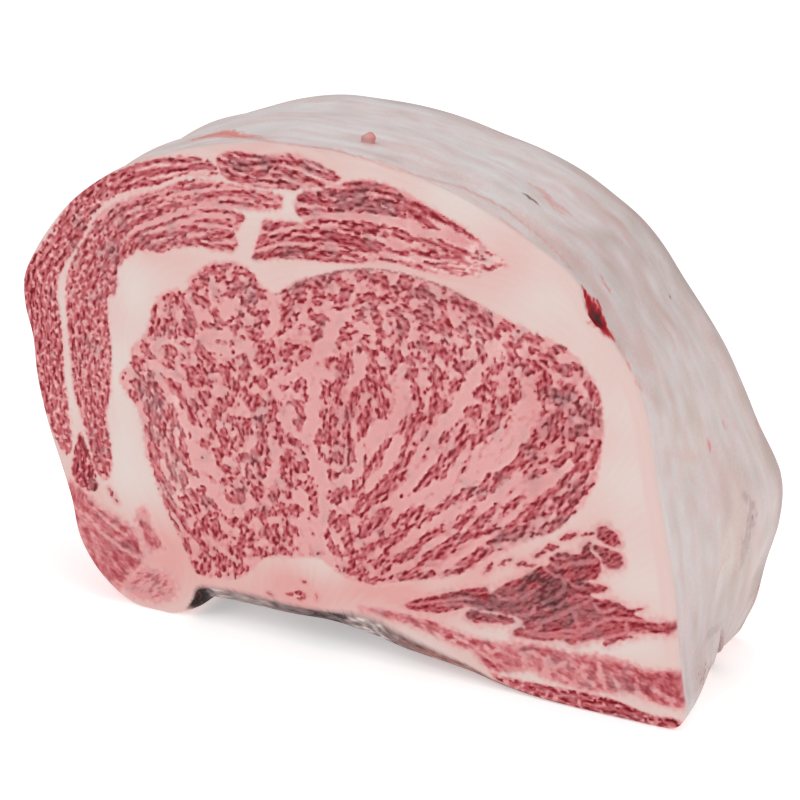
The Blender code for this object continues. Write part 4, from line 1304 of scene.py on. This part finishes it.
def marbled_flesh(tree, place, colours):
    """Sockets for the colour of cut beef, its tone and its fine grain."""
    tone, pink, grey, warm = attribute_parts(tree, "marble")
    noise = {"Vector": place, "Scale": per_metre(0.45), "Detail": 3.0, "Roughness": 0.6}
    grain = add_node(tree, "TexNoise", noise, "Fac")
    # A trace of the grain in the tone keeps large islands from looking painted.
    tone = add_node(tree, "Math", {0: grain, 1: 0.16, 2: tone}, operation="MULTIPLY_ADD")
    tone = add_node(tree, "MapRange", {0: tone, 1: -0.12, 2: 1.18})
    flesh = add_node(tree, "ValToRGB", {0: tone}, "Color", FLESH_STOPS)
    saturation = add_node(tree, "MapRange", {0: grey, 1: -1.0, 2: 1.0, 3: 1.40, 4: 0.66})
    flesh = add_node(tree, "HueSaturation", {"Saturation": saturation, "Color": flesh})
    flesh = add_node(
        tree, "Mix", {0: grey, 6: flesh, 7: linear("#C8AFB4")}, 2, data_type="RGBA", blend_type="MULTIPLY",
    )
    fat = add_node(
        tree, "Mix", {0: warm, 6: tuple(colours.cream), 7: tuple(colours.peach)}, 2, data_type="RGBA",
    )
    return add_node(tree, "Mix", {0: pink, 6: fat, 7: flesh}, 2, data_type="RGBA"), tone, grain


def finish_flesh(tree, shader, surface, cover, colours):
    """Lays stain and blood over (colour, roughness, height, the height's size in mm) and links all."""
    colour, rough, height, distance_mm = surface
    stain = add_node(tree, "Math", {0: cover[2], 1: 0.75}, operation="MULTIPLY")
    colour = add_node(tree, "Mix", {0: stain, 6: colour, 7: tuple(colours.stain)}, 2, data_type="RGBA")
    wet = add_node(tree, "MapRange", {0: cover[3], 1: 0.10, 2: 0.42}, interpolation_type="SMOOTHSTEP")
    blood = add_node(tree, "ValToRGB", {0: cover[3]}, "Color", BLOOD_STOPS)
    colour = add_node(tree, "Mix", {0: wet, 6: colour, 7: blood}, 2, data_type="RGBA")
    rough = add_node(tree, "Mix", {0: wet, 2: rough, 3: 0.12})
    bump = add_node(tree, "Bump", {"Strength": 0.4, "Distance": distance_mm * MM, "Height": height})
    link_shader(tree, shader, colour, rough, bump)


def cut_face_material(name, colours):
    """Marbled beef, sliced: fat firm and satin, lean a little lower, darker and wetter."""
    material, tree, shader = start_material(name, {"Specular IOR Level": 0.14})
    place = add_node(tree, "TexCoord", output="Object")
    colour, tone, grain = marbled_flesh(tree, place, colours)
    rough = add_node(tree, "MapRange", {0: tone, 1: 0.25, 2: 0.75, 3: 0.28, 4: 0.42})
    rough = add_node(tree, "Math", {0: grain, 1: 0.16, 2: rough}, operation="MULTIPLY_ADD")
    height = add_node(tree, "Math", {0: tone, 1: 1.2, 2: grain}, operation="MULTIPLY_ADD")
    finish_flesh(tree, shader, (colour, rough, height, 0.14), attribute_parts(tree, "cover"), colours)
    return material


def waxy_fat(tree, tints, streaks, pores, colours):
    """Lilac grey, paler, rosier and more beige in places, with fine lines round the cap, darkened by
    painted shade and dark marks.
    """
    pale, rosy, beige, shade = tints
    wax = tuple(colours.wax)
    for share, colour in ((beige, colours.wax_beige), (pale, colours.wax_pale), (rosy, colours.wax_rosy)):
        wax = add_node(tree, "Mix", {0: share, 6: wax, 7: tuple(colour)}, 2, data_type="RGBA")
    lines = ((0.56, 0.84, 0.24, colours.wax_rosy), (0.44, 0.20, 0.19, colours.wax_pale))
    for low, high, most, colour in lines:
        line = {0: streaks, 1: low, 2: high, 4: most}
        line = add_node(tree, "MapRange", line, interpolation_type="SMOOTHSTEP")
        wax = add_node(tree, "Mix", {0: line, 6: wax, 7: tuple(colour)}, 2, data_type="RGBA")
    # The shade channel and the pores darken the wax: painted shade, and dark marks of the fat.
    shade_and_marks = add_node(tree, "Math", {0: pores, 1: 0.12, 2: shade}, operation="MULTIPLY_ADD")
    shade_and_marks = add_node(tree, "ValToRGB", {0: shade_and_marks}, "Color", SHADE_STOPS)
    return add_node(tree, "Mix", {0: 1.0, 6: wax, 7: shade_and_marks}, 2, data_type="RGBA", blend_type="MULTIPLY")


def silverskin(tree, tints, fibres):
    """Colour and height of a grey film over brown-red meat, torn to pale fibres in places."""
    film = add_node(tree, "Math", {0: fibres, 1: 1.1, 2: tints[0]}, operation="MULTIPLY_ADD")
    film = add_node(tree, "MapRange", {0: film, 1: 0.38, 2: 1.60})
    grey = add_node(tree, "ValToRGB", {0: film}, "Color", FILM_GREY_STOPS)
    brown = add_node(tree, "ValToRGB", {0: film}, "Color", FILM_BROWN_STOPS)
    return add_node(tree, "Mix", {0: tints[1], 6: grey, 7: brown}, 2, data_type="RGBA"), film


def outside_material(name, colours):
    """Trimmed beef fat going over to lean and silverskin: waxy, satin, streaked round the outline.

    The attribute "drawn" is the outline bent into a circle, so noise can be drawn out along it.
    """
    material, tree, shader = start_material(name, {"Specular IOR Level": 0.22})
    place = add_node(tree, "TexCoord", output="Object")
    flesh, _, _ = marbled_flesh(tree, place, colours)
    cover = attribute_parts(tree, "cover")
    tints = attribute_parts(tree, "surface")
    drawn = add_node(tree, "Attribute", output="Color", attribute_name="drawn")
    long = add_node(tree, "Mapping", {"Vector": drawn, "Scale": (0.16, 0.16, 1.0)})
    noise = {"Vector": long, "Scale": per_metre(2.2), "Detail": 5.0, "Roughness": 0.62, "Distortion": 0.5}
    streaks = add_node(tree, "TexNoise", noise, "Fac")
    short = add_node(tree, "Mapping", {"Vector": drawn, "Scale": (0.28, 0.28, 1.0)})
    noise = {"Vector": short, "Scale": per_metre(1.3), "Detail": 5.0, "Roughness": 0.68, "Distortion": 0.9}
    fibres = add_node(tree, "TexNoise", noise, "Fac")
    noise = {"Vector": place, "Scale": per_metre(0.8), "Detail": 3.0, "Roughness": 0.6}
    pores = add_node(tree, "TexNoise", noise, "Fac")
    wax = waxy_fat(tree, tints, streaks, pores, colours)
    colour = add_node(tree, "Mix", {0: cover[0], 6: flesh, 7: wax}, 2, data_type="RGBA")
    film_colour, film = silverskin(tree, tints, fibres)
    colour = add_node(tree, "Mix", {0: cover[1], 6: colour, 7: film_colour}, 2, data_type="RGBA")
    rough = add_node(tree, "MapRange", {0: streaks, 1: 0.3, 2: 0.7, 3: 0.40, 4: 0.56})
    height = add_node(tree, "Math", {0: streaks, 1: 1.4, 2: pores}, operation="MULTIPLY_ADD")
    height = add_node(tree, "Mix", {0: cover[1], 2: height, 3: film})
    finish_flesh(tree, shader, (colour, rough, height, 0.25), cover, colours)
    return material


def floor_material():
    """Matt white board lit from below, as on a light table, with the faint mottle of a roller."""
    glow = {"Specular IOR Level": 0.2, "Emission Color": WHITE, "Emission Strength": FLOOR_GLOW}
    material, tree, shader = start_material("painted_board", glow)
    place = add_node(tree, "TexCoord", output="Object")
    mottle = add_node(tree, "TexNoise", {"Vector": place, "Scale": per_metre(60.0), "Detail": 3.0}, "Fac")
    colour = add_node(
        tree, "Mix", {0: mottle, 6: linear("#F6F5F4"), 7: linear("#F9F8F8")}, 2, data_type="RGBA",
    )
    rough = add_node(tree, "MapRange", {0: mottle, 3: 0.7, 4: 0.85})
    bump = add_node(tree, "Bump", {"Strength": 0.1, "Distance": 0.2 * MM, "Height": mottle})
    link_shader(tree, shader, colour, rough, bump)
    return material


# ---------------------------------------------------------------- settings


def size_property(label, text, size, least):
    return bpy.props.FloatProperty(name=label, description=text + ", in mm", default=size, min=least)


class SteakShape(bpy.types.PropertyGroup):
    """Sizes of the mesh."""

    front_rim_mm: size_property("Front rim", "Radius of the rim round the front cut face", 2.0, 0.5)
    back_rim_mm: size_property("Back rim", "Radius of the rim round the back cut face", 2.6, 0.5)
    ring_spacing_mm: size_property("Ring spacing", "Distance between rings of the outside", 0.72, 0.4)
    front_cell_mm: size_property("Front cell", "Size of the front face's cells", 0.42, 0.3)
    back_cell_mm: size_property("Back cell", "Size of the back face's cells", 0.55, 0.3)
    drawing_cell_mm: size_property(
        "Drawing cell", "Size of the raster the marbling is drawn on", 0.3, 0.2,
    )
    lean_sink_mm: size_property(
        "Lean sink", "How far the lean lies below the fat of the cut", 0.14, 0.0,
    )


class SteakMarbling(bpy.types.PropertyGroup):
    """Scale and share of the marbling."""

    island_period_mm: size_property(
        "Island spacing", "Distance between islands of lean in the eye", 4.2, 1.0,
    )
    lean_share: bpy.props.FloatProperty(
        name="Lean share", description="Raises or lowers the share of lean in the eye", default=0.18,
    )


def colour_property(label, text, hex_colour):
    return bpy.props.FloatVectorProperty(
        name=label, description=text, subtype="COLOR", size=4, min=0.0, max=1.0, default=linear(hex_colour),
    )


class SteakColours(bpy.types.PropertyGroup):
    """Colours of the meat."""

    cream: colour_property("Cream", "Fat between the muscles where it is whitest", "#DCCEC8")
    peach: colour_property("Peach", "Fat between the muscles where it is pinkest", "#DCA39E")
    wax: colour_property("Wax", "Trimmed fat of the cap", "#D3C5C3")
    # Pale wax also paints the light on the top of the cap.
    wax_pale: colour_property("Pale wax", "Bluish white stripes of the cap", "#DEDADA")
    wax_rosy: colour_property("Rosy wax", "Pink streaks and patches of the cap", "#D9AEA9")
    wax_beige: colour_property("Beige wax", "Yellowish patches of the cap", "#D6C8BB")
    stain: colour_property("Stain", "Meat juice on the fat", "#D5756F")


# ---------------------------------------------------------------- operators


class STEAK_OT_outside(bpy.types.Operator):
    """Builds the fat cap, the lean side and the rib side as one closed skin"""

    bl_idname = "steak.outside"
    bl_label = "Fat cap and sides"

    def execute(self, context):
        # The settings may have changed since the last run.
        Work.kept.clear()
        points, cleft, nub, _ = skin()
        turn = np.broadcast_to(np.arange(AROUND) / STEPS, points.shape[:2])
        y = points[..., 1]
        cap = np.maximum(smooth(*CAP_END_ROWS, turn), smooth(*CAP_START_ROWS, turn)) * (1.0 - cleft)
        cap = cap * smooth(*CAP_FRONT_Y_MM, y) * smooth(*CAP_BACK_Y_MM, y)
        side = smooth(*SIDE_START_ROWS, turn) * smooth(*SIDE_END_ROWS, turn)
        ragged = self.drawn_noise(57, 2.0, 1.4)
        film = smooth(*FILM_START_ROWS, turn) * smooth(*FILM_END_ROWS, turn) * smooth(*FILM_BACK_Y_MM, y)
        film = film * smooth(*FILM_FRONT_Y_MM, y - 0.025 * ragged)
        marble = self.marble(points, turn, side, cleft)
        surface = self.surface(points, film, ragged)
        cover = cover_at(points, cap, film, ragged)
        cover[..., 2] = np.maximum(cover[..., 2], 0.7 * nub)
        angle = 2.0 * math.pi * turn / len(FRONT_MM)
        drawn = [ROUND_MM * np.cos(angle), ROUND_MM * np.sin(angle), way_through(), 0.0 * y]
        drawn = np.stack(drawn, -1) * MM
        layers = {"marble": marble, "surface": surface, "cover": cover, "drawn": drawn}
        vertices, faces, layers = self.close(points, layers)
        material = outside_material("trimmed_beef_fat", context.scene.steak_colours)
        make_object("fat_cap_and_sides", vertices, faces, layers, material)
        self.tissue_nub(material)
        return {"FINISHED"}

    def tissue_nub(self, material):
        """A torn end of tissue on the cap, a small lumpy ball sunk into the fat."""
        tilt = np.pi * np.arange(1, NUB_RINGS + 1)[:, None] / (NUB_RINGS + 1)
        turn = 2.0 * np.pi * np.arange(NUB_AROUND) / NUB_AROUND
        tilt, turn = np.broadcast_arrays(tilt, turn)
        ball = np.stack([np.sin(tilt) * np.cos(turn), np.sin(tilt) * np.sin(turn), np.cos(tilt)], -1)
        ball = np.vstack([ball.reshape(-1, 3), ((0.0, 0.0, 1.0), (0.0, 0.0, -1.0))])
        lumps = np.sin(3.1 * ball[:, 0] + 1.0) * np.sin(2.7 * ball[:, 1] + 0.4)
        lumps = lumps + 0.5 * np.sin(6.0 * ball[:, 2])
        at = np.array(NUB_AT_MM) - (skin()[3], 0.0, 0.0)
        points = ball * (1.0 + 0.12 * lumps)[:, None] * NUB_BALL_MM + at
        points[:, 0] -= NUB_LEAN_MM * (1.0 - ball[:, 2]) * (ball[:, 0] < 0.0)
        faces = ring_quads(NUB_RINGS, NUB_AROUND)
        top, bottom, last = len(points) - 2, len(points) - 1, (NUB_RINGS - 1) * NUB_AROUND
        pairs = [(k, (k + 1) % NUB_AROUND) for k in range(NUB_AROUND)]
        faces += [[top, a, b] for a, b in pairs] + [[bottom, last + b, last + a] for a, b in pairs]
        one, none = np.ones(len(points)), np.zeros(len(points))
        red = np.clip(0.5 + 0.35 * ball[:, 2] + 0.3 * ball[:, 0] + 0.25 * lumps, 0.1, 1.2)
        layers = {
            "marble": np.stack([0.6 * one, one, none, none], -1),
            "surface": np.stack([0.5 * one, 0.6 * one, none, 0.12 * np.clip(red, 0.0, 1.0)], -1),
            "cover": np.stack([one, none, red, none], -1),
            "drawn": np.column_stack([points * MM, none]),
        }
        make_object("tissue_nub", points, faces, layers, material)

    def drawn_noise(self, seed, around_mm, through_mm, ratio=1.6):
        """Noise of one period on the outside, its two lengths given round it and through it."""
        field = np.random.default_rng(seed).standard_normal((NOISE_ROWS, AROUND))
        around = BLUR_PER_PERIOD * around_mm / NOISE_AROUND_MM
        through = BLUR_PER_PERIOD * through_mm / NOISE_PITCH_MM
        fy, fx = np.fft.fftfreq(NOISE_ROWS)[:, None], np.fft.rfftfreq(AROUND)[None, :]
        bend = -2.0 * math.pi ** 2 * ((around * fx) ** 2 + (through * fy) ** 2)
        spectrum = np.fft.rfft2(field) * (np.exp(bend) - np.exp(bend * ratio ** 2))
        field = np.fft.irfft2(spectrum, s=field.shape)
        field = (field - field.mean()) / field.std()
        at = way_through() / NOISE_PITCH_MM + NOISE_ROWS / 2.0
        low = np.clip(at.astype(int), 0, NOISE_ROWS - 2)
        column = np.arange(AROUND)[None, :]
        return mix(field[low, column], field[low + 1, column], np.clip(at - low, 0.0, 1.0))

    def marble(self, points, turn, side, cleft):
        """Lean and fat of the outside: as the cut faces at the rims, drawn along Y between."""
        x, y, z = points[..., 0], points[..., 1], points[..., 2]
        islands = self.drawn_noise(51, 4.2, 13.0) + 0.35 * self.drawn_noise(52, 2.6, 5.0)
        threads = self.drawn_noise(53, 2.4, 5.0)
        patches = self.drawn_noise(54, 26.0, 34.0)
        upper, lower = SIDE_SEAM_ROWS
        seam = np.exp(-((turn - upper - 0.25 * patches) / 0.35) ** 2)
        seam = seam + np.exp(-((turn - lower) / 0.25) ** 2)
        bundle = islands + 0.5 + 0.3 * patches - 2.0 * seam - 2.0 * (1.0 - side)
        rosy = smooth(*SIDE_ROSY_ROWS, turn)
        lean = smooth(-0.4, 0.5, bundle) * (0.50 - 0.26 * rosy + 0.16 * threads)
        tone = 0.90 - lean
        pink = np.clip(1.2 * side, 0.0, 1.0)
        grey = (0.10 + 0.13 * patches) * side
        warm = 0.35 + 0.15 * patches
        inside = np.stack([tone, pink, grey, warm], -1)
        front = front_marbling().read(x, z)
        back = back_marbling().read(*matched_to_front(x, z))
        marble = mix(inside, front, smooth(*FRONT_FACE_Y_MM, y)[..., None])
        marble = mix(marble, back, smooth(*BACK_FACE_Y_MM, y)[..., None])
        # A peach band runs down the rim of the cap, and the cleft is painted as darker meat with painted
        # shade in the recess.
        right = smooth(*RIM_BAND_X_MM, x) * smooth(-25.0, -29.0, y)
        marble[..., 3] = mix(marble[..., 3], RIM_WARMTH, right)
        for channel, value in enumerate((0.34 + 0.10 * threads, 1.0, 1.0)):
            marble[..., channel] = mix(marble[..., channel], value, cleft)
        return marble

    def surface(self, points, film, ragged):
        """Tints of the waxy cap, and of the silverskin: pale, rosy, beige and shade, with painted light and
        shade among them.
        """
        tints = mix(self.cap_tints(points, ragged), self.silverskin_tints(points), film[..., None])
        return np.clip(tints, 0.0, 1.0)

    def cap_tints(self, points, ragged):
        """Bands, clouds and veins of the trimmed fat, its edges, its specked foot and the strokes, with
        painted light on the top and painted shade low down, at the back rim and on the upper right.
        """
        x, y, z = points[..., 0], points[..., 1], points[..., 2]
        broad = self.drawn_noise(61, 60.0, 14.0)
        bands = self.drawn_noise(62, 45.0, 7.0)
        veins = self.drawn_noise(63, 22.0, 3.0)
        clouds = self.drawn_noise(64, 18.0, 14.0)
        foot = smooth(17.0, 6.0, z + 3.0 * ragged) * smooth(-26.0, -12.0, y) * smooth(80.0, 100.0, x)
        specks = smooth(0.8, 2.0, self.drawn_noise(67, 3.0, 1.6) + 0.4 * veins)
        specks = specks * foot * smooth(14.0, -14.0, y)
        front_edge = np.exp(-((y + 29.2 + 0.2 * ragged) / 0.8) ** 2)
        low_stripe = np.exp(-((y + 24.5 + 1.5 * bands) / 4.2) ** 2)
        low_stripe = low_stripe * smooth(80.0, 50.0, z) * smooth(50.0, 80.0, x)
        # Above z = 130 mm the cap is painted paler: painted light on the top of the cap.
        pale = 0.30 + 0.08 * bands + 0.06 * veins + 0.45 * smooth(130.0, 150.0, z)
        pale = pale + 0.36 * low_stripe + 0.35 * front_edge * smooth(60.0, 75.0, x)
        pale = np.maximum(pale, strokes(points, "pale", ragged))
        rosy = 0.14 + 0.09 * broad - 0.04 * bands + 0.05 * veins + 0.07 * self.drawn_noise(68, 8.0, 5.0)
        rosy = rosy + 0.70 * front_edge * smooth(78.0, 60.0, x) * smooth(-0.9, 0.5, veins)
        rosy = np.maximum(rosy + 0.5 * specks, strokes(points, "rosy", ragged))
        beige = 0.22 + 0.20 * clouds + 0.15 * smooth(5.0, 25.0, y)
        beige = np.maximum(beige, strokes(points, "beige", ragged))
        # Darker towards the back rim: partly the lean that shows there, partly painted shade along the far
        # edge.
        shade = 0.01 + 0.025 * clouds + 0.15 * smooth(22.0, 31.0, y)
        # Painted shade low on the right side, towards the floor.
        shade = shade + 0.09 * smooth(50.0, 15.0, z) * (x > 0.0)
        # Painted shade on the upper right slope, where the lamps light the cap most; the specks are dark
        # marks of the foot.
        shade = shade + 0.07 * np.exp(-((x - 72.0) / 16.0) ** 2) * smooth(80.0, 100.0, z) + 0.6 * specks
        # The shade strokes are painted shade: the slit in the fat, and small darker spots and a streak.
        shade = np.maximum(shade, 0.5 * strokes(points, "shade", ragged))
        return np.stack([pale, rosy, beige, shade], -1)

    def silverskin_tints(self, points):
        """Fibres of the film, torn in the middle, grey to the left and browner to the right, with painted
        shade at the far left.
        """
        x, y = points[..., 0], points[..., 1]
        fibre = self.drawn_noise(65, 7.0, 1.3)
        blots = self.drawn_noise(66, 6.0, 4.0)
        torn = np.exp(-((x - 7.0) / 6.0) ** 2) * smooth(-22.0, -29.0, y)
        pale = 0.40 + 0.11 * fibre + 0.05 * blots + torn * (0.38 + 0.25 * fibre)
        # Left of x = -48 mm the film is painted dark and, with the rosy below, brown: painted shade on the
        # bottom lobe's wall, in the hollow under the rib side's edge.
        pale = pale - 0.22 * np.exp(-((x + 9.0) / 9.0) ** 2) - 1.1 * smooth(-48.0, -52.0, x)
        pale = pale + 0.20 * smooth(-22.0, -34.0, x) * smooth(-52.0, -46.0, x)
        pale = pale + 0.10 * smooth(15.0, 40.0, x)
        rosy = 0.12 + 0.12 * blots + 0.85 * smooth(8.0, 30.0, x) + 0.7 * smooth(-49.0, -54.0, x)
        return np.stack([pale, rosy, 0.0 * pale, 0.0 * pale], -1)

    def close(self, grid, layers):
        """Adds a short wall inwards at each end and a flat cap, hidden under the cut faces."""
        points, faces = grid.reshape(-1, 3), ring_quads(*grid.shape[:2])
        rows, start = [points], len(points)
        layers = {key: [values.reshape(-1, 4)] for key, values in layers.items()}
        for first, forward in ((0, True), (len(points) - AROUND, False)):
            ring = points[first:first + AROUND].copy()
            ring[:, 1] += SLAB_MM if forward else -SLAB_MM
            rows.append(ring)
            for k in range(AROUND):
                beside = (k + 1) % AROUND
                face = [first + k, first + beside, start + beside, start + k]
                faces.append(face if forward else face[::-1])
            faces += [[start + v for v in face] for face in fill([ring], forward)]
            for values in layers.values():
                values.append(values[0][first:first + AROUND])
            start += AROUND
        return np.vstack(rows), faces, {key: np.vstack(values) for key, values in layers.items()}


def cut_relief(marbling, ring, wave_mm, place):
    """Distance to the rim of a cut face on its raster, and a function for the height at points.

    The lean is sunk, a slow knife wave crosses the face, and nothing is raised near the rim. place
    brings a point of the face to where its marbling is drawn.
    """
    sheet, sink_mm = marbling.sheet, settings().lean_sink_mm
    rim = np.minimum(sheet.distance(ring, True, RIM_REACH_MM), RIM_REACH_MM)

    def height(kept):
        x, z = kept[:, 0], kept[:, 1]
        lean = smooth(0.75, 0.30, sheet.read(marbling.soft, *place(x, z)))
        relief = wave_mm * waves(KNIFE_WAVES, x, 0.0, z) - sink_mm * lean
        return smooth(*RELIEF_FADE_MM, sheet.read(rim, x, z)) * relief

    return rim, height


class STEAK_OT_front_face(bpy.types.Operator):
    """Builds the front cut face: the eye muscle, and the muscles and fat round it"""

    bl_idname = "steak.front_face"
    bl_label = "Front cut face"

    def execute(self, context):
        ring = skin()[0][0][:, [0, 2]]
        marbling = front_marbling()
        sheet = marbling.sheet
        rim, height = cut_relief(marbling, ring, KNIFE_FRONT_MM, lambda x, z: (x, z))
        points, eye, around = lattice_faces(ring, spline(EYE_MM, EYE_STEPS), settings().front_cell_mm)
        material = cut_face_material("marbled_beef_cut", context.scene.steak_colours)
        for name, faces in (("eye_muscle", eye), ("cap_muscles_and_fat", around)):
            vertices, polygons = slab(points, faces, lambda kept: -HALF_MM - height(kept), True)
            x, z = vertices[:, 0], vertices[:, 2]
            none = np.zeros(len(vertices))
            marble = marbling.read(x, z)
            band = smooth(1.5, 0.1, sheet.read(rim, x, z)) * smooth(*RIM_BAND_X_MM, x)
            band = band * smooth(0.6, 0.9, marble[:, 0])
            marble[:, 3] = mix(marble[:, 3], RIM_WARMTH, band)
            cover = cover_at(vertices, none, none, sheet.read(marbling.wobble, x, z))
            make_object(name, vertices, polygons, {"marble": marble, "cover": cover}, material)
        return {"FINISHED"}


class STEAK_OT_back_face(bpy.types.Operator):
    """Builds the back cut face, the same muscles with their own marbling"""

    bl_idname = "steak.back_face"
    bl_label = "Back cut face"

    def execute(self, context):
        ring = skin()[0][-1][:, [0, 2]]
        marbling = back_marbling()
        _, height = cut_relief(marbling, ring, KNIFE_BACK_MM, matched_to_front)
        points, _, faces = lattice_faces(ring, None, settings().back_cell_mm)
        vertices, polygons = slab(points, faces, lambda kept: HALF_MM + height(kept), False)
        layers = {
            "marble": marbling.read(*matched_to_front(vertices[:, 0], vertices[:, 2])),
            "cover": np.zeros((len(vertices), 4)),
        }
        material = bpy.data.materials["marbled_beef_cut"]
        make_object("back_cut_face", vertices, polygons, layers, material)
        return {"FINISHED"}


class STEAK_OT_stage(bpy.types.Operator):
    """Sets the pale floor, the soft studio light and the camera"""

    bl_idname = "steak.stage"
    bl_label = "Stage"

    def execute(self, context):
        scene = context.scene
        mesh = bpy.data.meshes.new("studio_floor")
        signs = ((-1, -1), (1, -1), (1, 1), (-1, 1))
        mesh.from_pydata([(x * FLOOR_HALF_M, y * FLOOR_HALF_M, 0.0) for x, y in signs], [], [(0, 1, 2, 3)])
        mesh.materials.append(floor_material())
        floor = bpy.data.objects.new("studio_floor", mesh)
        scene.collection.objects.link(floor)
        world = bpy.data.worlds.new("soft_room")
        world.use_nodes = True
        background = world.node_tree.nodes["Background"].inputs
        background["Color"].default_value, background["Strength"].default_value = WHITE, ROOM_LIGHT
        scene.world = world
        for name, place, size, power in SOFTBOXES:
            light = bpy.data.lights.new(name, "AREA")
            light.shape = "SQUARE"
            light.size = size
            light.energy = power
            lamp = bpy.data.objects.new(name, light)
            lamp.location = place
            aim = Vector(LIGHT_AIM_M) - Vector(place)
            lamp.rotation_euler = aim.to_track_quat("-Z", "Y").to_euler()
            scene.collection.objects.link(lamp)
        data = bpy.data.cameras.new("photo_camera")
        data.lens = CAMERA_LENS_MM
        data.sensor_width = SENSOR_MM
        camera = bpy.data.objects.new("photo_camera", data)
        aim = Vector(CAMERA_AIM_MM)
        aim.x -= skin()[3]
        level = math.cos(CAMERA_RISE)
        back = (math.sin(CAMERA_TURN) * level, -math.cos(CAMERA_TURN) * level, math.sin(CAMERA_RISE))
        back = Vector(back)
        camera.location = (aim + back * CAMERA_DISTANCE_MM) * MM
        camera.rotation_euler = (-back).to_track_quat("-Z", "Y").to_euler()
        scene.collection.objects.link(camera)
        scene.camera = camera
        scene.view_settings.view_transform = "Standard"
        return {"FINISHED"}


class STEAK_PT_panel(bpy.types.Panel):
    """Lists the settings and the steps that build the steak"""

    bl_label = "Ribeye Steak"
    bl_idname = "STEAK_PT_panel"
    bl_space_type = "VIEW_3D"
    bl_region_type = "UI"
    bl_category = "Steak"

    def draw(self, context):
        layout = self.layout
        for group in (context.scene.steak_shape, context.scene.steak_marbling, context.scene.steak_colours):
            column = layout.column()
            for key in group.bl_rna.properties.keys():
                if key not in ("rna_type", "name"):
                    column.prop(group, key)
        for step in STEPS_IN_ORDER:
            layout.operator(step.bl_idname)


STEPS_IN_ORDER = (STEAK_OT_outside, STEAK_OT_front_face, STEAK_OT_back_face, STEAK_OT_stage)
GROUPS = (("steak_shape", SteakShape), ("steak_marbling", SteakMarbling), ("steak_colours", SteakColours))


def register():
    for _, group in GROUPS:
        bpy.utils.register_class(group)
    for step in STEPS_IN_ORDER + (STEAK_PT_panel,):
        bpy.utils.register_class(step)
    for key, group in GROUPS:
        setattr(bpy.types.Scene, key, bpy.props.PointerProperty(type=group))


def unregister():
    for key, _ in GROUPS:
        delattr(bpy.types.Scene, key)
    for step in (STEAK_PT_panel,) + STEPS_IN_ORDER[::-1]:
        bpy.utils.unregister_class(step)
    for _, group in GROUPS[::-1]:
        bpy.utils.unregister_class(group)


def main():
    register()
    bpy.ops.steak.outside()
    bpy.ops.steak.front_face()
    bpy.ops.steak.back_face()
    bpy.ops.steak.stage()


if __name__ == "__main__":
    main()
